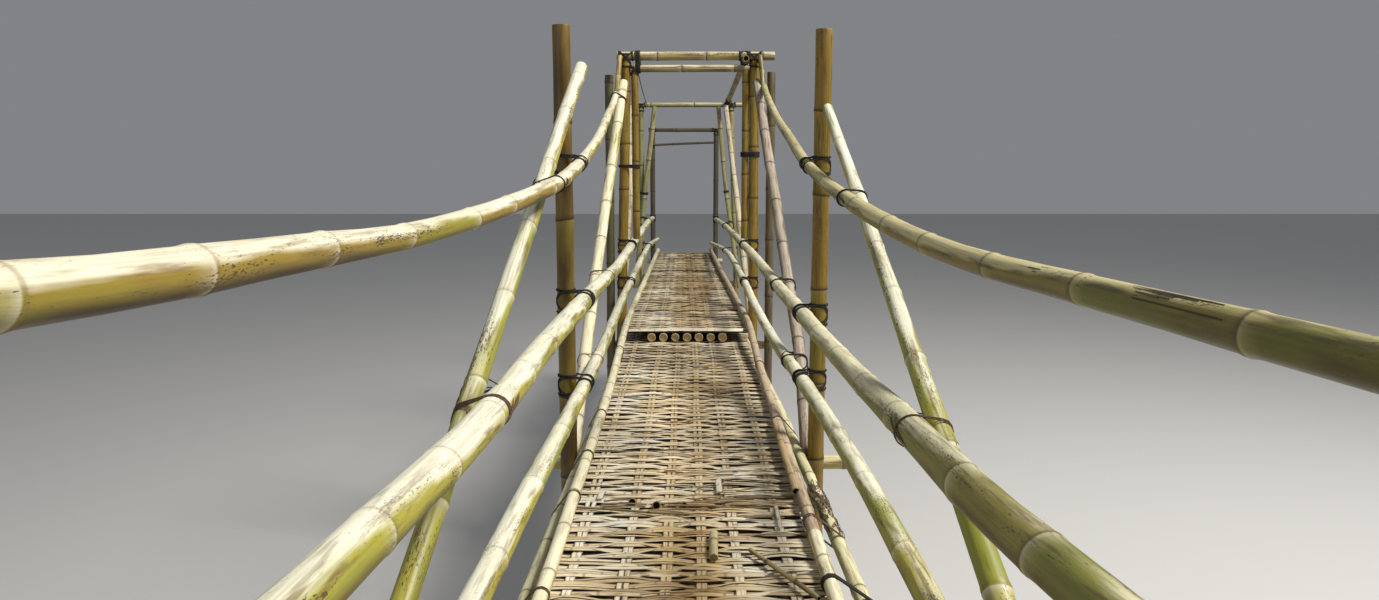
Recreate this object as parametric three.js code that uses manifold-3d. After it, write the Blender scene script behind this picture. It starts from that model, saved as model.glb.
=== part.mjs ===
// A lashed bamboo footbridge: a narrow woven deck carried on rows of posts, with handrails that
// hang between two tower portals and slanting braces that carry the long middle span.
// Millimetres. X runs across the bridge, Y along it, Z up from the ground under the posts.
// The far half (Y above zero) and the near half are mirror images of each other.

import * as THREE from "three";
import { mergeVertices } from "three/addons/utils/BufferGeometryUtils.js";
import Module from "manifold-3d";

const wasm = await Module();
wasm.setup();

// Levels
const DECK_LEVEL = 2200; // top of the middle mats above the foot of the posts
const GAP = 0.3; // clearance left where two pieces are lashed together
const FOOT_ALLOWANCE = 20; // length cut off below the ground

// Rows of posts, measured from the middle of the bridge
const SPAN_ROW = 4250;
const TOWER_ROW = 7600;
const APPROACH_ROW = 10950;
const END_ROW = 13500;

// Deck
const DECK_CENTRE = -20;
const MAT_HALF_WIDTH = 512;
const MAT_THICK = 25;
const MAT_JOINT = 3360;
const MAT_END = 7850;
const UPPER_MAT_START = 7150;
const UPPER_MAT_END = 13600;
const UPPER_MAT_END_LEFT = -465;
const UPPER_MAT_END_RIGHT = 315;
const STRINGER_RADIUS = 35;
const STRINGER_COUNT = 7;
const STRINGER_PITCH = 135;
const UPPER_STRINGER_PITCH = 97;
const STRINGER_PITCH_AT_END = 110;
const STRINGER_END = 7900;
const UPPER_STRINGER_START = 7130;
const UPPER_STRINGER_END = 13640;
const STRINGER_CENTRE_AT_END = -65;
const TRANSOM_RADIUS = 37.5;
const BITE = 3; // how far lashed deck poles press into each other
const EDGE_POLE_RADIUS = 27.5;
const KERB_RADIUS = 27.5;
const KERB_OVERHANG = -5;
const KERB_SHIFT = 13; // how far both kerbs lie to the right over the middle span

const STRINGER_LEVEL = -MAT_THICK - GAP - STRINGER_RADIUS;
const TRANSOM_LEVEL = STRINGER_LEVEL - STRINGER_RADIUS - TRANSOM_RADIUS + BITE;
const TRANSOM_TOP = TRANSOM_LEVEL + TRANSOM_RADIUS;
const UPPER_STRINGER_LEVEL = GAP + STRINGER_RADIUS;
const UPPER_MAT_LEVEL = 2 * (GAP + STRINGER_RADIUS) + MAT_THICK;
const UPPER_TRANSOM_LEVEL = GAP - TRANSOM_RADIUS + BITE;

// Posts: row, distance from the centre line at the head and at the foot, top above the deck, radius
const POSTS = [
  { name: "span_post_left", y: SPAN_ROW, head: -645, foot: -645, top: 2171, radius: 46 },
  { name: "span_post_right", y: SPAN_ROW, head: 678, foot: 672, top: 2151, radius: 43 },
  { name: "tower_post_left", y: TOWER_ROW, head: -530, foot: -640, top: 2293.7, radius: 41 },
  { name: "tower_post_right", y: TOWER_ROW, head: 540, foot: 552, top: 2293.7, radius: 41 },
  { name: "tower_side_post_left", y: TOWER_ROW + 6, head: -672, foot: -690, top: 2176, radius: 35 },
  { name: "tower_side_post_right", y: TOWER_ROW + 6, head: 684, foot: 684, top: 2200, radius: 35 },
  { name: "approach_post_left", y: APPROACH_ROW, head: -563, foot: -575, top: 2056.7, radius: 30 },
  { name: "approach_post_right", y: APPROACH_ROW, head: 488, foot: 630, top: 2056.7, radius: 30 },
  { name: "end_post_left", y: END_ROW, head: -529, foot: -529, top: 1823.7, radius: 35 },
  { name: "end_post_right", y: END_ROW, head: 379, foot: 379, top: 1823.7, radius: 35 },
];

// Cross beams at the heads of the posts
const BEAMS = [
  { name: "tower_top_beam", y: TOWER_ROW, from: -604, to: 709, level: 2330, radius: 36 },
  { name: "approach_frame", y: APPROACH_ROW, from: -730, to: 655, level: 2084, radius: 27 },
  { name: "end_beam", y: END_ROW, from: -580, to: 430, level: 1851, radius: 27 },
];

// Two slanting struts under each approach beam, as points (y, x, level) from the head down
const STRUTS = [
  { radius: 30, points: [[10945, -405, 2064], [10887, -524, 1040], [10860, -581, 508], [10830, -640, -60]] },
  { radius: 25, points: [[10945, 337, 2064], [10887, 430, 1086], [10865, 485, 698], [10825, 590, -60]] },
];

// Handrails, as points (y, x, level above the deck) from the middle to one end
const TOP_RAIL_LEFT = [
  [0, -774, 1388], [420, -759, 1369], [1014, -743, 1347], [1594, -698, 1334], [2249, -607, 1360],
  [2909, -520, 1412], [3388, -533, 1431], [3794, -545, 1455], [SPAN_ROW, -563, 1480],
  [5000, -548, 1596], [5900, -568, 1739], [6800, -584, 1890], [7450, -603, 2013],
];
const TOP_RAIL_RIGHT = [
  [0, 882, 1276], [600, 881, 1262], [1300, 868, 1238], [2000, 797, 1237], [2800, 727, 1279],
  [3600, 645, 1377], [SPAN_ROW, 605, 1472], [5000, 590, 1615], [5900, 585, 1772],
  [6800, 593, 1947], [7450, 612, 2076],
];
const MID_RAIL_LEFT = [
  [0, -552, 925], [600, -548, 899], [1600, -545, 833], [2800, -554, 808], [SPAN_ROW, -550, 773],
  [5400, -549, 729], [6500, -534, 700], [TOWER_ROW, -497, 748], [9300, -478, 757],
  [APPROACH_ROW, -485, 725], [13445, -529, 597],
];
const MID_RAIL_RIGHT = [
  [0, 775, 780], [750, 700, 774], [1200, 651, 772], [1800, 612, 778], [2800, 600, 738],
  [SPAN_ROW, 590, 702], [5400, 560, 700], [6500, 512, 737], [TOWER_ROW, 464, 754],
  [9300, 450, 710], [APPROACH_ROW, 420, 674], [13445, 378, 585],
];
const LOW_RAIL_LEFT = [
  [0, -584, 345], [2000, -578, 344], [SPAN_ROW, -552, 325], [5300, -548, 326],
  [6400, -540, 362], [TOWER_ROW, -508, 431], [9300, -482, 470], [APPROACH_ROW, -486, 430],
  [13700, -468, 272],
];
const LOW_RAIL_RIGHT = [
  [0, 616, 412], [1400, 613, 410], [2700, 612, 395], [SPAN_ROW, 592, 352], [5300, 553, 335],
  [6400, 508, 375], [TOWER_ROW, 472, 433], [9300, 444, 445], [APPROACH_ROW, 425, 378],
  [13700, 314, 220],
];
// Culm radius against distance from the middle
const TOP_RAIL_RADII_LEFT = [
  [0, 39], [560, 39.5], [1014, 37.5], [1510, 32.5], [2740, 31], [SPAN_ROW, 31.5], [TOWER_ROW, 27],
];
const TOP_RAIL_RADII_RIGHT = [
  [0, 36], [1200, 36.5], [3000, 35.5], [3600, 31], [SPAN_ROW, 29], [5500, 26], [TOWER_ROW, 24],
];
const MID_RAIL_RADII_LEFT = [[0, 46.5], [SPAN_ROW, 46], [TOWER_ROW, 38], [END_ROW, 30]];
const MID_RAIL_RADII_RIGHT = [
  [0, 52], [1300, 51], [1900, 46], [2500, 41], [SPAN_ROW, 41], [TOWER_ROW, 32], [END_ROW, 26],
];
const LOW_RAIL_RADII_LEFT = [[0, 42], [2200, 42], [SPAN_ROW, 37.5], [5500, 35], [END_ROW, 28]];
const LOW_RAIL_RADII_RIGHT = [[0, 34], [2000, 37], [SPAN_ROW, 38], [5700, 33], [END_ROW, 26]];

// Braces as points (y, x, level) from foot to head, outside the rails, with both end radii
const BRACES = [
  {
    name: "span_brace",
    left: {
      radii: [31, 32.5],
      points: [[22, -691, -53.5], [1856, -627, 833], [3096, -581, 1433], [4180, -541, 1957]],
    },
    right: {
      radii: [37, 26],
      points: [[22, 745, -53.5], [1765, 692, 778], [3375, 726, 1346], [4180, 692, 1758]],
    },
  },
  {
    name: "tower_brace",
    left: {
      radii: [37, 39],
      points: [[4334, -628, -48], [4870, -621, 325], [5695, -627, 719], [7528, -547, 2106]],
    },
    right: {
      radii: [35, 38],
      points: [[4334, 634, -48], [4775, 645, 341], [5405, 635, 700], [7530, 559, 2114]],
    },
  },
  {
    name: "approach_brace",
    left: {
      radii: [30, 29],
      points: [[7672, -606, -58], [9100, -605, 879], [10908, -690, 2060]],
    },
    right: {
      radii: [31, 29],
      points: [[7672, 553, -58], [9100, 497, 879], [10908, 424, 2060]],
    },
  },
];

// Smaller culms at the heads of the posts
const RAIL_TIP_RADIUS = 21;
const HANGER_RADIUS = 30;
const LOW_BEAM_LEVEL = 2228;
const HEAD_TIE_RADIUS = 27.5;
const HEAD_TIE_X = 460;

const ROUND_SIDES = 12;
const PLAIN_SIDES = 8;

// Colours of the culms, from the sunlit rails to the dark posts at the far end
const COLOURS = {
  rail: 0xcdbf86,
  post: 0xa9823c,
  pale: 0xd8cda6,
  grey: 0x8d8a72,
  dark: 0x5d5844,
  mat: 0xb39a70,
};

function bambooMaterial(colour) {
  return new THREE.MeshStandardMaterial({ color: colour, roughness: 0.45, metalness: 0 });
}

// A polygon whose flats lie the given radius from its centre, with flats facing both axes.
function culmSection(radius, sides) {
  const corner = radius / Math.cos(Math.PI / sides);
  const points = [];
  for (let i = 0; i < sides; i++) {
    const angle = ((i + 0.5) * 2 * Math.PI) / sides;
    points.push(new THREE.Vector2(corner * Math.cos(angle), corner * Math.sin(angle)));
  }
  return new THREE.Shape(points);
}

function radiusFrom(table, distance) {
  const last = table.length - 1;
  for (let i = 0; i < last; i++) {
    const [start, first] = table[i];
    const [end, second] = table[i + 1];
    if (distance <= end) return first + ((second - first) * (distance - start)) / (end - start);
  }
  return table[last][1];
}

// A straight culm between two points, thinner towards its tip where the radii differ.
function straightCulm(from, to, fromRadius, toRadius, sides, extra = 0) {
  const start = new THREE.Vector3(...from);
  const end = new THREE.Vector3(...to);
  const along = end.clone().sub(start);
  const corner = 1 / Math.cos(Math.PI / sides);
  const geometry = new THREE.CylinderGeometry(
    (toRadius + extra) * corner,
    (fromRadius + extra) * corner,
    along.length() + 2 * extra,
    sides,
    1,
    false,
    Math.PI / sides,
  );
  const mesh = new THREE.Mesh(geometry);
  mesh.position.copy(start).add(end).multiplyScalar(0.5);
  mesh.quaternion.setFromUnitVectors(new THREE.Vector3(0, 1, 0), along.normalize());
  return mesh;
}

// A bent culm swept along a curve; the section is then scaled about the curve to taper it.
function bentCulm(curve, radiusAt, steps, sides, extra = 0) {
  const base = 10;
  const geometry = new THREE.ExtrudeGeometry(culmSection(base, sides), {
    steps,
    bevelEnabled: false,
    extrudePath: curve,
  });
  const stations = curve.getSpacedPoints(steps);
  const place = geometry.getAttribute("position");
  const vertex = new THREE.Vector3();
  for (let i = 0; i < place.count; i++) {
    vertex.fromBufferAttribute(place, i);
    let nearest = stations[0];
    for (const station of stations) {
      if (vertex.distanceToSquared(station) < vertex.distanceToSquared(nearest)) nearest = station;
    }
    vertex.sub(nearest).multiplyScalar((radiusAt(nearest.y) + extra) / base).add(nearest);
    place.setXYZ(i, vertex.x, vertex.y, vertex.z);
  }
  return new THREE.Mesh(geometry);
}

function railCurve(half) {
  const points = [];
  for (const [y, x, level] of [...half].reverse()) {
    if (y > 0) points.push(new THREE.Vector3(x, -y, DECK_LEVEL + level));
  }
  for (const [y, x, level] of half) points.push(new THREE.Vector3(x, y, DECK_LEVEL + level));
  return new THREE.CatmullRomCurve3(points, false, "centripetal");
}

// A mesh as a solid in the bridge's own frame.
function solidOf(mesh) {
  mesh.updateMatrixWorld(true);
  const geometry = mesh.geometry.clone().applyMatrix4(mesh.matrixWorld);
  geometry.deleteAttribute("normal");
  geometry.deleteAttribute("uv");
  const merged = mergeVertices(geometry, 1e-3);
  return new wasm.Manifold(
    new wasm.Mesh({
      numProp: 3,
      vertProperties: merged.getAttribute("position").array,
      triVerts: new Uint32Array(merged.index.array),
    }),
  );
}

// The largest body of a solid, so that no sliver left by a cut stays with the piece.
function mainBody(solid) {
  let main = null;
  for (const body of solid.decompose()) {
    if (!main || body.volume() > main.volume()) main = body;
  }
  return main;
}

function geometryOf(solid) {
  const mesh = solid.getMesh();
  const geometry = new THREE.BufferGeometry();
  geometry.setAttribute("position", new THREE.BufferAttribute(mesh.vertProperties, 3));
  geometry.setIndex(new THREE.BufferAttribute(mesh.triVerts, 1));
  geometry.computeVertexNormals();
  return geometry;
}

const bridge = new THREE.Group();
const pieces = [];

// Everything below the ground is cut away, so that a leaning post still has a level foot.
const earth = new THREE.Mesh(new THREE.BoxGeometry(4000, 40000, 1000));
earth.position.z = -500;
const earthSolid = solidOf(earth);

// Adds one named piece. Its parts are built by make(extra), which returns meshes that the piece
// joins into one body; extra swells them, and that swollen copy copes the pieces added after it.
function addPiece(name, colour, make) {
  const parts = make(0);
  let solid = solidOf(parts[0]);
  for (const part of parts.slice(1)) solid = solid.add(solidOf(part));
  let coped = solid.boundingBox().min[2] < 0;
  if (coped) solid = solid.subtract(earthSolid);
  for (const other of pieces) {
    if (!boxesMeet(solid.boundingBox(), other.box)) continue;
    if (solid.intersect(other.solid).volume() < 1e-3) continue;
    solid = mainBody(solid.subtract(other.swollen()));
    coped = true;
  }
  const mesh = parts[0];
  mesh.name = name;
  mesh.material = bambooMaterial(colour);
  if (coped || parts.length > 1) {
    mesh.geometry = geometryOf(solid).applyMatrix4(mesh.matrixWorld.clone().invert());
  }
  bridge.add(mesh);
  pieces.push({
    solid,
    box: solid.boundingBox(),
    swollen: () => make(GAP).map(solidOf).reduce((sum, part) => sum.add(part)),
  });
}

function boxesMeet(one, other) {
  return [0, 1, 2].every((axis) => one.min[axis] < other.max[axis] && other.min[axis] < one.max[axis]);
}

const ENDS = [
  { name: "far", sign: 1 },
  { name: "near", sign: -1 },
];
const SIDES = [
  { name: "left", sign: -1 },
  { name: "right", sign: 1 },
];

// Posts stand from the ground to their heads; each starts a little below the ground.
function footBelowGround(post, y) {
  const lean = (post.head - post.foot) / (DECK_LEVEL + post.top);
  return [post.foot - lean * FOOT_ALLOWANCE, y, -FOOT_ALLOWANCE];
}

for (const end of ENDS) {
  for (const post of POSTS) {
    const y = end.sign * post.y;
    const colour = post.y > TOWER_ROW + 6 ? COLOURS.dark : COLOURS.post;
    addPiece(post.name + "_" + end.name, colour, (extra) => [
      straightCulm(
        footBelowGround(post, y),
        [post.head, y, DECK_LEVEL + post.top],
        post.radius,
        post.radius,
        ROUND_SIDES,
        extra,
      ),
    ]);
  }
}

// Cross beams lie on the heads of the posts; the approach beams carry slanting struts too.
function strut(points, radius, end, extra) {
  const curve = new THREE.CatmullRomCurve3(
    points.map(([y, x, level]) => new THREE.Vector3(x, end.sign * y, DECK_LEVEL + level)),
    false,
    "centripetal",
  );
  return bentCulm(curve, () => radius, 6, PLAIN_SIDES, extra);
}

for (const end of ENDS) {
  for (const beam of BEAMS) {
    const level = DECK_LEVEL + beam.level;
    addPiece(beam.name + "_" + end.name, COLOURS.post, (extra) => {
      const parts = [
        straightCulm(
          [beam.from, end.sign * beam.y, level],
          [beam.to, end.sign * beam.y, level],
          beam.radius,
          beam.radius,
          PLAIN_SIDES,
          extra,
        ),
      ];
      if (beam.name === "approach_frame") {
        parts.push(...STRUTS.map(({ points, radius }) => strut(points, radius, end, extra)));
      }
      return parts;
    });
  }
}

// Transoms lie behind the posts, seen from the middle of the bridge, and carry the stringers.
function transom(y, from, to, level, extra) {
  return straightCulm(
    [from, y, DECK_LEVEL + level],
    [to, y, DECK_LEVEL + level],
    TRANSOM_RADIUS,
    TRANSOM_RADIUS,
    PLAIN_SIDES,
    extra,
  );
}

function transomDistance(row, postRadius) {
  return row + postRadius + GAP + TRANSOM_RADIUS;
}

// The middle stringers lie under the mats; a bent pole along each edge lies beside them.
const EDGE_POLES = {
  left: [[0, -600], [2700, -592], [SPAN_ROW, -570], [5800, -556], [STRINGER_END, -550]],
  right: [[0, 655], [2630, 628], [SPAN_ROW, 590], [5200, 568], [TOWER_ROW, 480], [STRINGER_END, 470]],
};

function edgePole(points, extra) {
  const level = TRANSOM_TOP + EDGE_POLE_RADIUS - BITE;
  const curve = railCurve(points.map(([y, x]) => [y, x, level]));
  return bentCulm(curve, () => EDGE_POLE_RADIUS, 16, PLAIN_SIDES, extra);
}

function middleDeckFrame(extra) {
  const parts = [transom(0, -918, 830, TRANSOM_LEVEL, extra)];
  for (const end of ENDS) {
    const spanY = end.sign * transomDistance(SPAN_ROW, 46);
    const towerY = end.sign * transomDistance(TOWER_ROW, 41);
    parts.push(transom(spanY, -850, 888, TRANSOM_LEVEL, extra));
    parts.push(transom(towerY, -745, 760, TRANSOM_LEVEL, extra));
  }
  const z = DECK_LEVEL + STRINGER_LEVEL;
  for (let i = 0; i < STRINGER_COUNT; i++) {
    const x = DECK_CENTRE + STRINGER_PITCH * (i - (STRINGER_COUNT - 1) / 2);
    const reach = STRINGER_END;
    parts.push(
      straightCulm([x, -reach, z], [x, reach, z], STRINGER_RADIUS, STRINGER_RADIUS, PLAIN_SIDES, extra),
    );
  }
  for (const side of SIDES) parts.push(edgePole(EDGE_POLES[side.name], extra));
  return parts;
}

function upperDeckFrame(end, extra) {
  const approachY = end.sign * transomDistance(APPROACH_ROW, 30);
  const endY = end.sign * transomDistance(END_ROW, 35);
  const parts = [
    transom(approachY, -650, 600, UPPER_TRANSOM_LEVEL, extra),
    transom(endY, -620, 480, UPPER_TRANSOM_LEVEL, extra),
  ];
  const z = DECK_LEVEL + UPPER_STRINGER_LEVEL;
  for (let i = 0; i < STRINGER_COUNT; i++) {
    const place = i - (STRINGER_COUNT - 1) / 2;
    parts.push(
      straightCulm(
        [DECK_CENTRE + UPPER_STRINGER_PITCH * place, end.sign * UPPER_STRINGER_START, z],
        [STRINGER_CENTRE_AT_END + STRINGER_PITCH_AT_END * place, end.sign * UPPER_STRINGER_END, z],
        STRINGER_RADIUS,
        STRINGER_RADIUS,
        PLAIN_SIDES,
        extra,
      ),
    );
  }
  return parts;
}

addPiece("deck_frame_middle", COLOURS.pale, middleDeckFrame);
for (const end of ENDS) {
  addPiece("deck_frame_" + end.name, COLOURS.pale, (extra) => upperDeckFrame(end, extra));
}

// A mat is a plain slab cut to its outline; the weave shows on the finished bridge.
function mat(corners, top, extra) {
  const outline = new THREE.Shape(corners.map(([x, y]) => new THREE.Vector2(x, y)));
  const geometry = new THREE.ExtrudeGeometry(outline, {
    depth: MAT_THICK + 2 * extra,
    bevelEnabled: false,
  });
  const mesh = new THREE.Mesh(geometry);
  mesh.position.z = DECK_LEVEL + top - MAT_THICK - extra;
  return mesh;
}

const MAT_LEFT = DECK_CENTRE - MAT_HALF_WIDTH;
const MAT_RIGHT = DECK_CENTRE + MAT_HALF_WIDTH;

function slabBetween(start, finish) {
  return [[MAT_LEFT, start], [MAT_RIGHT, start], [MAT_RIGHT, finish], [MAT_LEFT, finish]];
}

function upperMatCorners(end) {
  const corners = [
    [MAT_LEFT, end.sign * UPPER_MAT_START],
    [MAT_RIGHT, end.sign * UPPER_MAT_START],
    [UPPER_MAT_END_RIGHT, end.sign * UPPER_MAT_END],
    [UPPER_MAT_END_LEFT, end.sign * UPPER_MAT_END],
  ];
  return end.sign > 0 ? corners : corners.reverse();
}

addPiece("mat_middle", COLOURS.mat, (extra) => [mat(slabBetween(-MAT_JOINT, MAT_JOINT), 0, extra)]);
for (const end of ENDS) {
  const [start, finish] = [end.sign * (MAT_JOINT + GAP), end.sign * MAT_END].sort((a, b) => a - b);
  addPiece("mat_tower_" + end.name, COLOURS.mat, (extra) => [mat(slabBetween(start, finish), 0, extra)]);
  addPiece("mat_approach_" + end.name, COLOURS.mat, (extra) => [
    mat(upperMatCorners(end), UPPER_MAT_LEVEL, extra),
  ]);
}

// A kerb pole lies along each edge of the mats and climbs onto the upper mats.
function kerbPoints(side) {
  const edge = side.sign > 0 ? MAT_RIGHT : MAT_LEFT;
  const endEdge = side.sign > 0 ? UPPER_MAT_END_RIGHT : UPPER_MAT_END_LEFT;
  const x = edge + side.sign * KERB_OVERHANG;
  const endX = endEdge + side.sign * KERB_OVERHANG;
  const low = GAP + KERB_RADIUS;
  const high = UPPER_MAT_LEVEL + GAP + KERB_RADIUS;
  return [
    [0, x + KERB_SHIFT, low],
    [SPAN_ROW, x + KERB_SHIFT, low],
    [5700, x + 0.7 * KERB_SHIFT, low + 10],
    [UPPER_MAT_START - 60, x + 0.2 * KERB_SHIFT, high + 4],
    [UPPER_MAT_START + 500, x, high + 1],
    [APPROACH_ROW, x + 0.59 * (endX - x), high],
    [UPPER_MAT_END + 40, endX, high],
  ];
}

for (const side of SIDES) {
  const curve = railCurve(kerbPoints(side));
  addPiece("kerb_pole_" + side.name, COLOURS.pale, (extra) => [
    bentCulm(curve, () => KERB_RADIUS, 36, PLAIN_SIDES, extra),
  ]);
}

// Handrails run from end to end, lashed to the inner faces of the posts.
const RAIL_PATHS = {
  top_rail: {
    left: { points: TOP_RAIL_LEFT, radii: TOP_RAIL_RADII_LEFT },
    right: { points: TOP_RAIL_RIGHT, radii: TOP_RAIL_RADII_RIGHT },
    steps: 32,
    sides: 10,
  },
  mid_rail: {
    left: { points: MID_RAIL_LEFT, radii: MID_RAIL_RADII_LEFT },
    right: { points: MID_RAIL_RIGHT, radii: MID_RAIL_RADII_RIGHT },
    steps: 36,
    sides: 10,
  },
  low_rail: {
    left: { points: LOW_RAIL_LEFT, radii: LOW_RAIL_RADII_LEFT },
    right: { points: LOW_RAIL_RIGHT, radii: LOW_RAIL_RADII_RIGHT },
    steps: 28,
    sides: 8,
  },
};

// A thin culm lashed to the end of each top rail climbs to the tower's top beam.
function railTips(points, extra) {
  const [y, x, level] = points[points.length - 1];
  const inward = x > 0 ? -1 : 1;
  return ENDS.map((end) =>
    straightCulm(
      [x + inward * 4, end.sign * (y - 40), DECK_LEVEL + level - 40],
      [x + inward * 28, end.sign * (TOWER_ROW - 57), DECK_LEVEL + 2325],
      RAIL_TIP_RADIUS,
      RAIL_TIP_RADIUS,
      PLAIN_SIDES,
      extra,
    ),
  );
}

for (const [rail, path] of Object.entries(RAIL_PATHS)) {
  for (const side of SIDES) {
    const { points, radii } = path[side.name];
    const curve = railCurve(points);
    const radiusAt = (y) => radiusFrom(radii, Math.abs(y));
    addPiece(rail + "_" + side.name, COLOURS.rail, (extra) => {
      const parts = [bentCulm(curve, radiusAt, path.steps, path.sides, extra)];
      if (rail === "top_rail") parts.push(...railTips(points, extra));
      return parts;
    });
  }
}

// Span braces run from the span posts down to the transom at mid-span, tower braces from the tower
// posts to the transom at the span posts, approach braces from the approach beam to the tower's.
for (const { name, left, right } of BRACES) {
  const colour = name === "span_brace" ? COLOURS.rail : COLOURS.pale;
  for (const end of ENDS) {
    for (const side of SIDES) {
      const { radii, points } = side.sign > 0 ? right : left;
      const [foot, head] = [points[0][0], points[points.length - 1][0]];
      const curve = new THREE.CatmullRomCurve3(
        points.map(([y, x, level]) => new THREE.Vector3(x, end.sign * y, DECK_LEVEL + level)),
        false,
        "centripetal",
      );
      const radiusAt = (y) => radiusFrom([[foot, radii[0]], [head, radii[1]]], Math.abs(y));
      addPiece(name + "_" + side.name + "_" + end.name, colour, (extra) => [
        bentCulm(curve, radiusAt, 8, PLAIN_SIDES, extra),
      ]);
    }
  }
}

// The low cross beam of each tower stands on two hangers whose feet rest on the middle rails.
function hangerFrame(end, extra) {
  const y = end.sign * TOWER_ROW;
  const beamZ = DECK_LEVEL + LOW_BEAM_LEVEL;
  const beam = straightCulm([-470, y, beamZ], [500, y, beamZ], 30, 30, PLAIN_SIDES, extra);
  const hangers = [
    { head: -459, foot: -450, level: 805 },
    { head: 470, foot: 468, level: 810 },
  ];
  const posts = hangers.map((hanger) =>
    straightCulm(
      [hanger.foot, y, DECK_LEVEL + hanger.level],
      [hanger.head, y, beamZ - 10],
      HANGER_RADIUS,
      HANGER_RADIUS,
      PLAIN_SIDES,
      extra,
    ),
  );
  return [beam, ...posts];
}

// A head tie joins each tower to its approach portal along the right side.
function headTie(end, extra) {
  return straightCulm(
    [HEAD_TIE_X, end.sign * (TOWER_ROW - 200), DECK_LEVEL + LOW_BEAM_LEVEL + 65],
    [HEAD_TIE_X - 5, end.sign * (APPROACH_ROW + 150), DECK_LEVEL + 2084 + 50],
    HEAD_TIE_RADIUS,
    HEAD_TIE_RADIUS,
    PLAIN_SIDES,
    extra,
  );
}

for (const end of ENDS) {
  addPiece("tower_hanger_frame_" + end.name, COLOURS.post, (extra) => hangerFrame(end, extra));
  addPiece("head_tie_" + end.name, COLOURS.post, (extra) => [headTie(end, extra)]);
}

export default bridge;
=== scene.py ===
import math
import random

import bpy
import numpy as np
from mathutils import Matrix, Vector


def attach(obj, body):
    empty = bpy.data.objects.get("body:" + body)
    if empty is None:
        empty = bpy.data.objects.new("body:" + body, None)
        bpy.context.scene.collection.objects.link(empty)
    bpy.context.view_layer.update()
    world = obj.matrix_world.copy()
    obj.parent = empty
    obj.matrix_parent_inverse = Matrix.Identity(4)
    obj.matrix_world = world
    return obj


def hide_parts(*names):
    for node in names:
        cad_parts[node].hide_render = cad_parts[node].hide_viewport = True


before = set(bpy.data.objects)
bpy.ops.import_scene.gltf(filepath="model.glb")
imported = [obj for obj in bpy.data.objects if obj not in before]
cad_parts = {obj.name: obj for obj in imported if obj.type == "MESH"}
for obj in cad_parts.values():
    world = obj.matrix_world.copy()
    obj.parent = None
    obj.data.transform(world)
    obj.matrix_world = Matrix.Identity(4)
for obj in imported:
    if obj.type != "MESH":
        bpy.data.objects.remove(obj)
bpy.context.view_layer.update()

# ---------------------------------------------------------------- posts
# Ten bamboo posts stand on each half of the bridge, their feet cut level with the ground.
# Each is one culm: a tube, a little waisted between its swollen joints, sawn open at the top.
# The posts by the towers are golden brown, the far ones dark: weathered, and darker still by painted shade.
DECK = 2.2
SPAN_ROW = 4.25
TOWER_ROW = 7.6
APPROACH_ROW = 10.95
END_ROW = 13.5
ENDS = (("far", 1), ("near", -1))
POST_PITCH = 0.46
FULL_TURN = 2 * math.pi


def spot(x, y, level, way=1):
    """A place: distance to the right, distance from mid-span, level above the deck, and the half."""
    return x, way * y, DECK + level


def clear_selection():
    if bpy.context.object and bpy.context.object.mode != "OBJECT":
        bpy.ops.object.mode_set(mode="OBJECT")
    bpy.ops.object.select_all(action="DESELECT")


def sheet_of_faces(name, columns, rows):
    """A flat grid, one metre square, ready to be rolled or bent."""
    clear_selection()
    bpy.ops.mesh.primitive_grid_add(x_subdivisions=columns, y_subdivisions=rows, size=1)
    made = bpy.context.object
    made.name = made.data.name = name
    return made


def corners_of(mesh):
    flat = np.empty(len(mesh.vertices) * 3)
    mesh.vertices.foreach_get("co", flat)
    return flat.reshape(-1, 3)


def move_corners(mesh, where, **marks):
    """Puts the corners in their places and stores what the finish reads at each of them."""
    mesh.vertices.foreach_set("co", where.ravel())
    for name, values in marks.items():
        kind, field = ("FLOAT_VECTOR", "vector") if values.ndim == 2 else ("FLOAT", "value")
        mesh.attributes.new(name, kind, "POINT").data.foreach_set(field, values.ravel())
    mesh.update()


def close_up(merge=0.0):
    """Merges the corners that meet and turns the faces outwards."""
    bpy.ops.object.mode_set(mode="EDIT")
    bpy.ops.mesh.select_all(action="SELECT")
    if merge:
        bpy.ops.mesh.remove_doubles(threshold=merge)
    bpy.ops.mesh.normals_make_consistent(inside=False)
    bpy.ops.object.mode_set(mode="OBJECT")


def lengths_along(run):
    return np.concatenate([[0], np.cumsum(np.linalg.norm(np.diff(run, axis=0), axis=1))])


def on_run(at, reach, run):
    """The places on a run at the given distances."""
    return np.stack([np.interp(at, reach, run[:, k]) for k in range(run.shape[1])], axis=1)


def unit(rows):
    return rows / np.linalg.norm(rows, axis=-1, keepdims=True)


def culm_profile(joints, length, swell, bore):
    """Rows of distance along and share of the radius: open ends, waisted canes, swollen joints."""
    rows = [(bore, 0.0), (bore, 0.78), (0.0, 0.8), (0.0, 0.97), (0.004, 1.0)]
    last = 0.004
    for at in joints:
        gap = at - last
        if gap < 0.07:
            continue
        rows += [(last + gap * 0.4, 0.982)]
        rows += [(at - 0.035, 0.995), (at - 0.012, 1 + swell * 0.45), (at - 0.004, 1 + swell)]
        rows += [(at, 1 + swell * 0.6), (at + 0.005, 1 + swell * 0.9), (at + 0.024, 1.01)]
        last = at + 0.024
    rows += [(last + (length - last) * 0.5, 0.985), (length - 0.004, 1.0)]
    rows += [(length, 0.97), (length, 0.8), (length - bore, 0.78), (length - bore, 0.0)]
    return np.array(rows)


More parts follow.
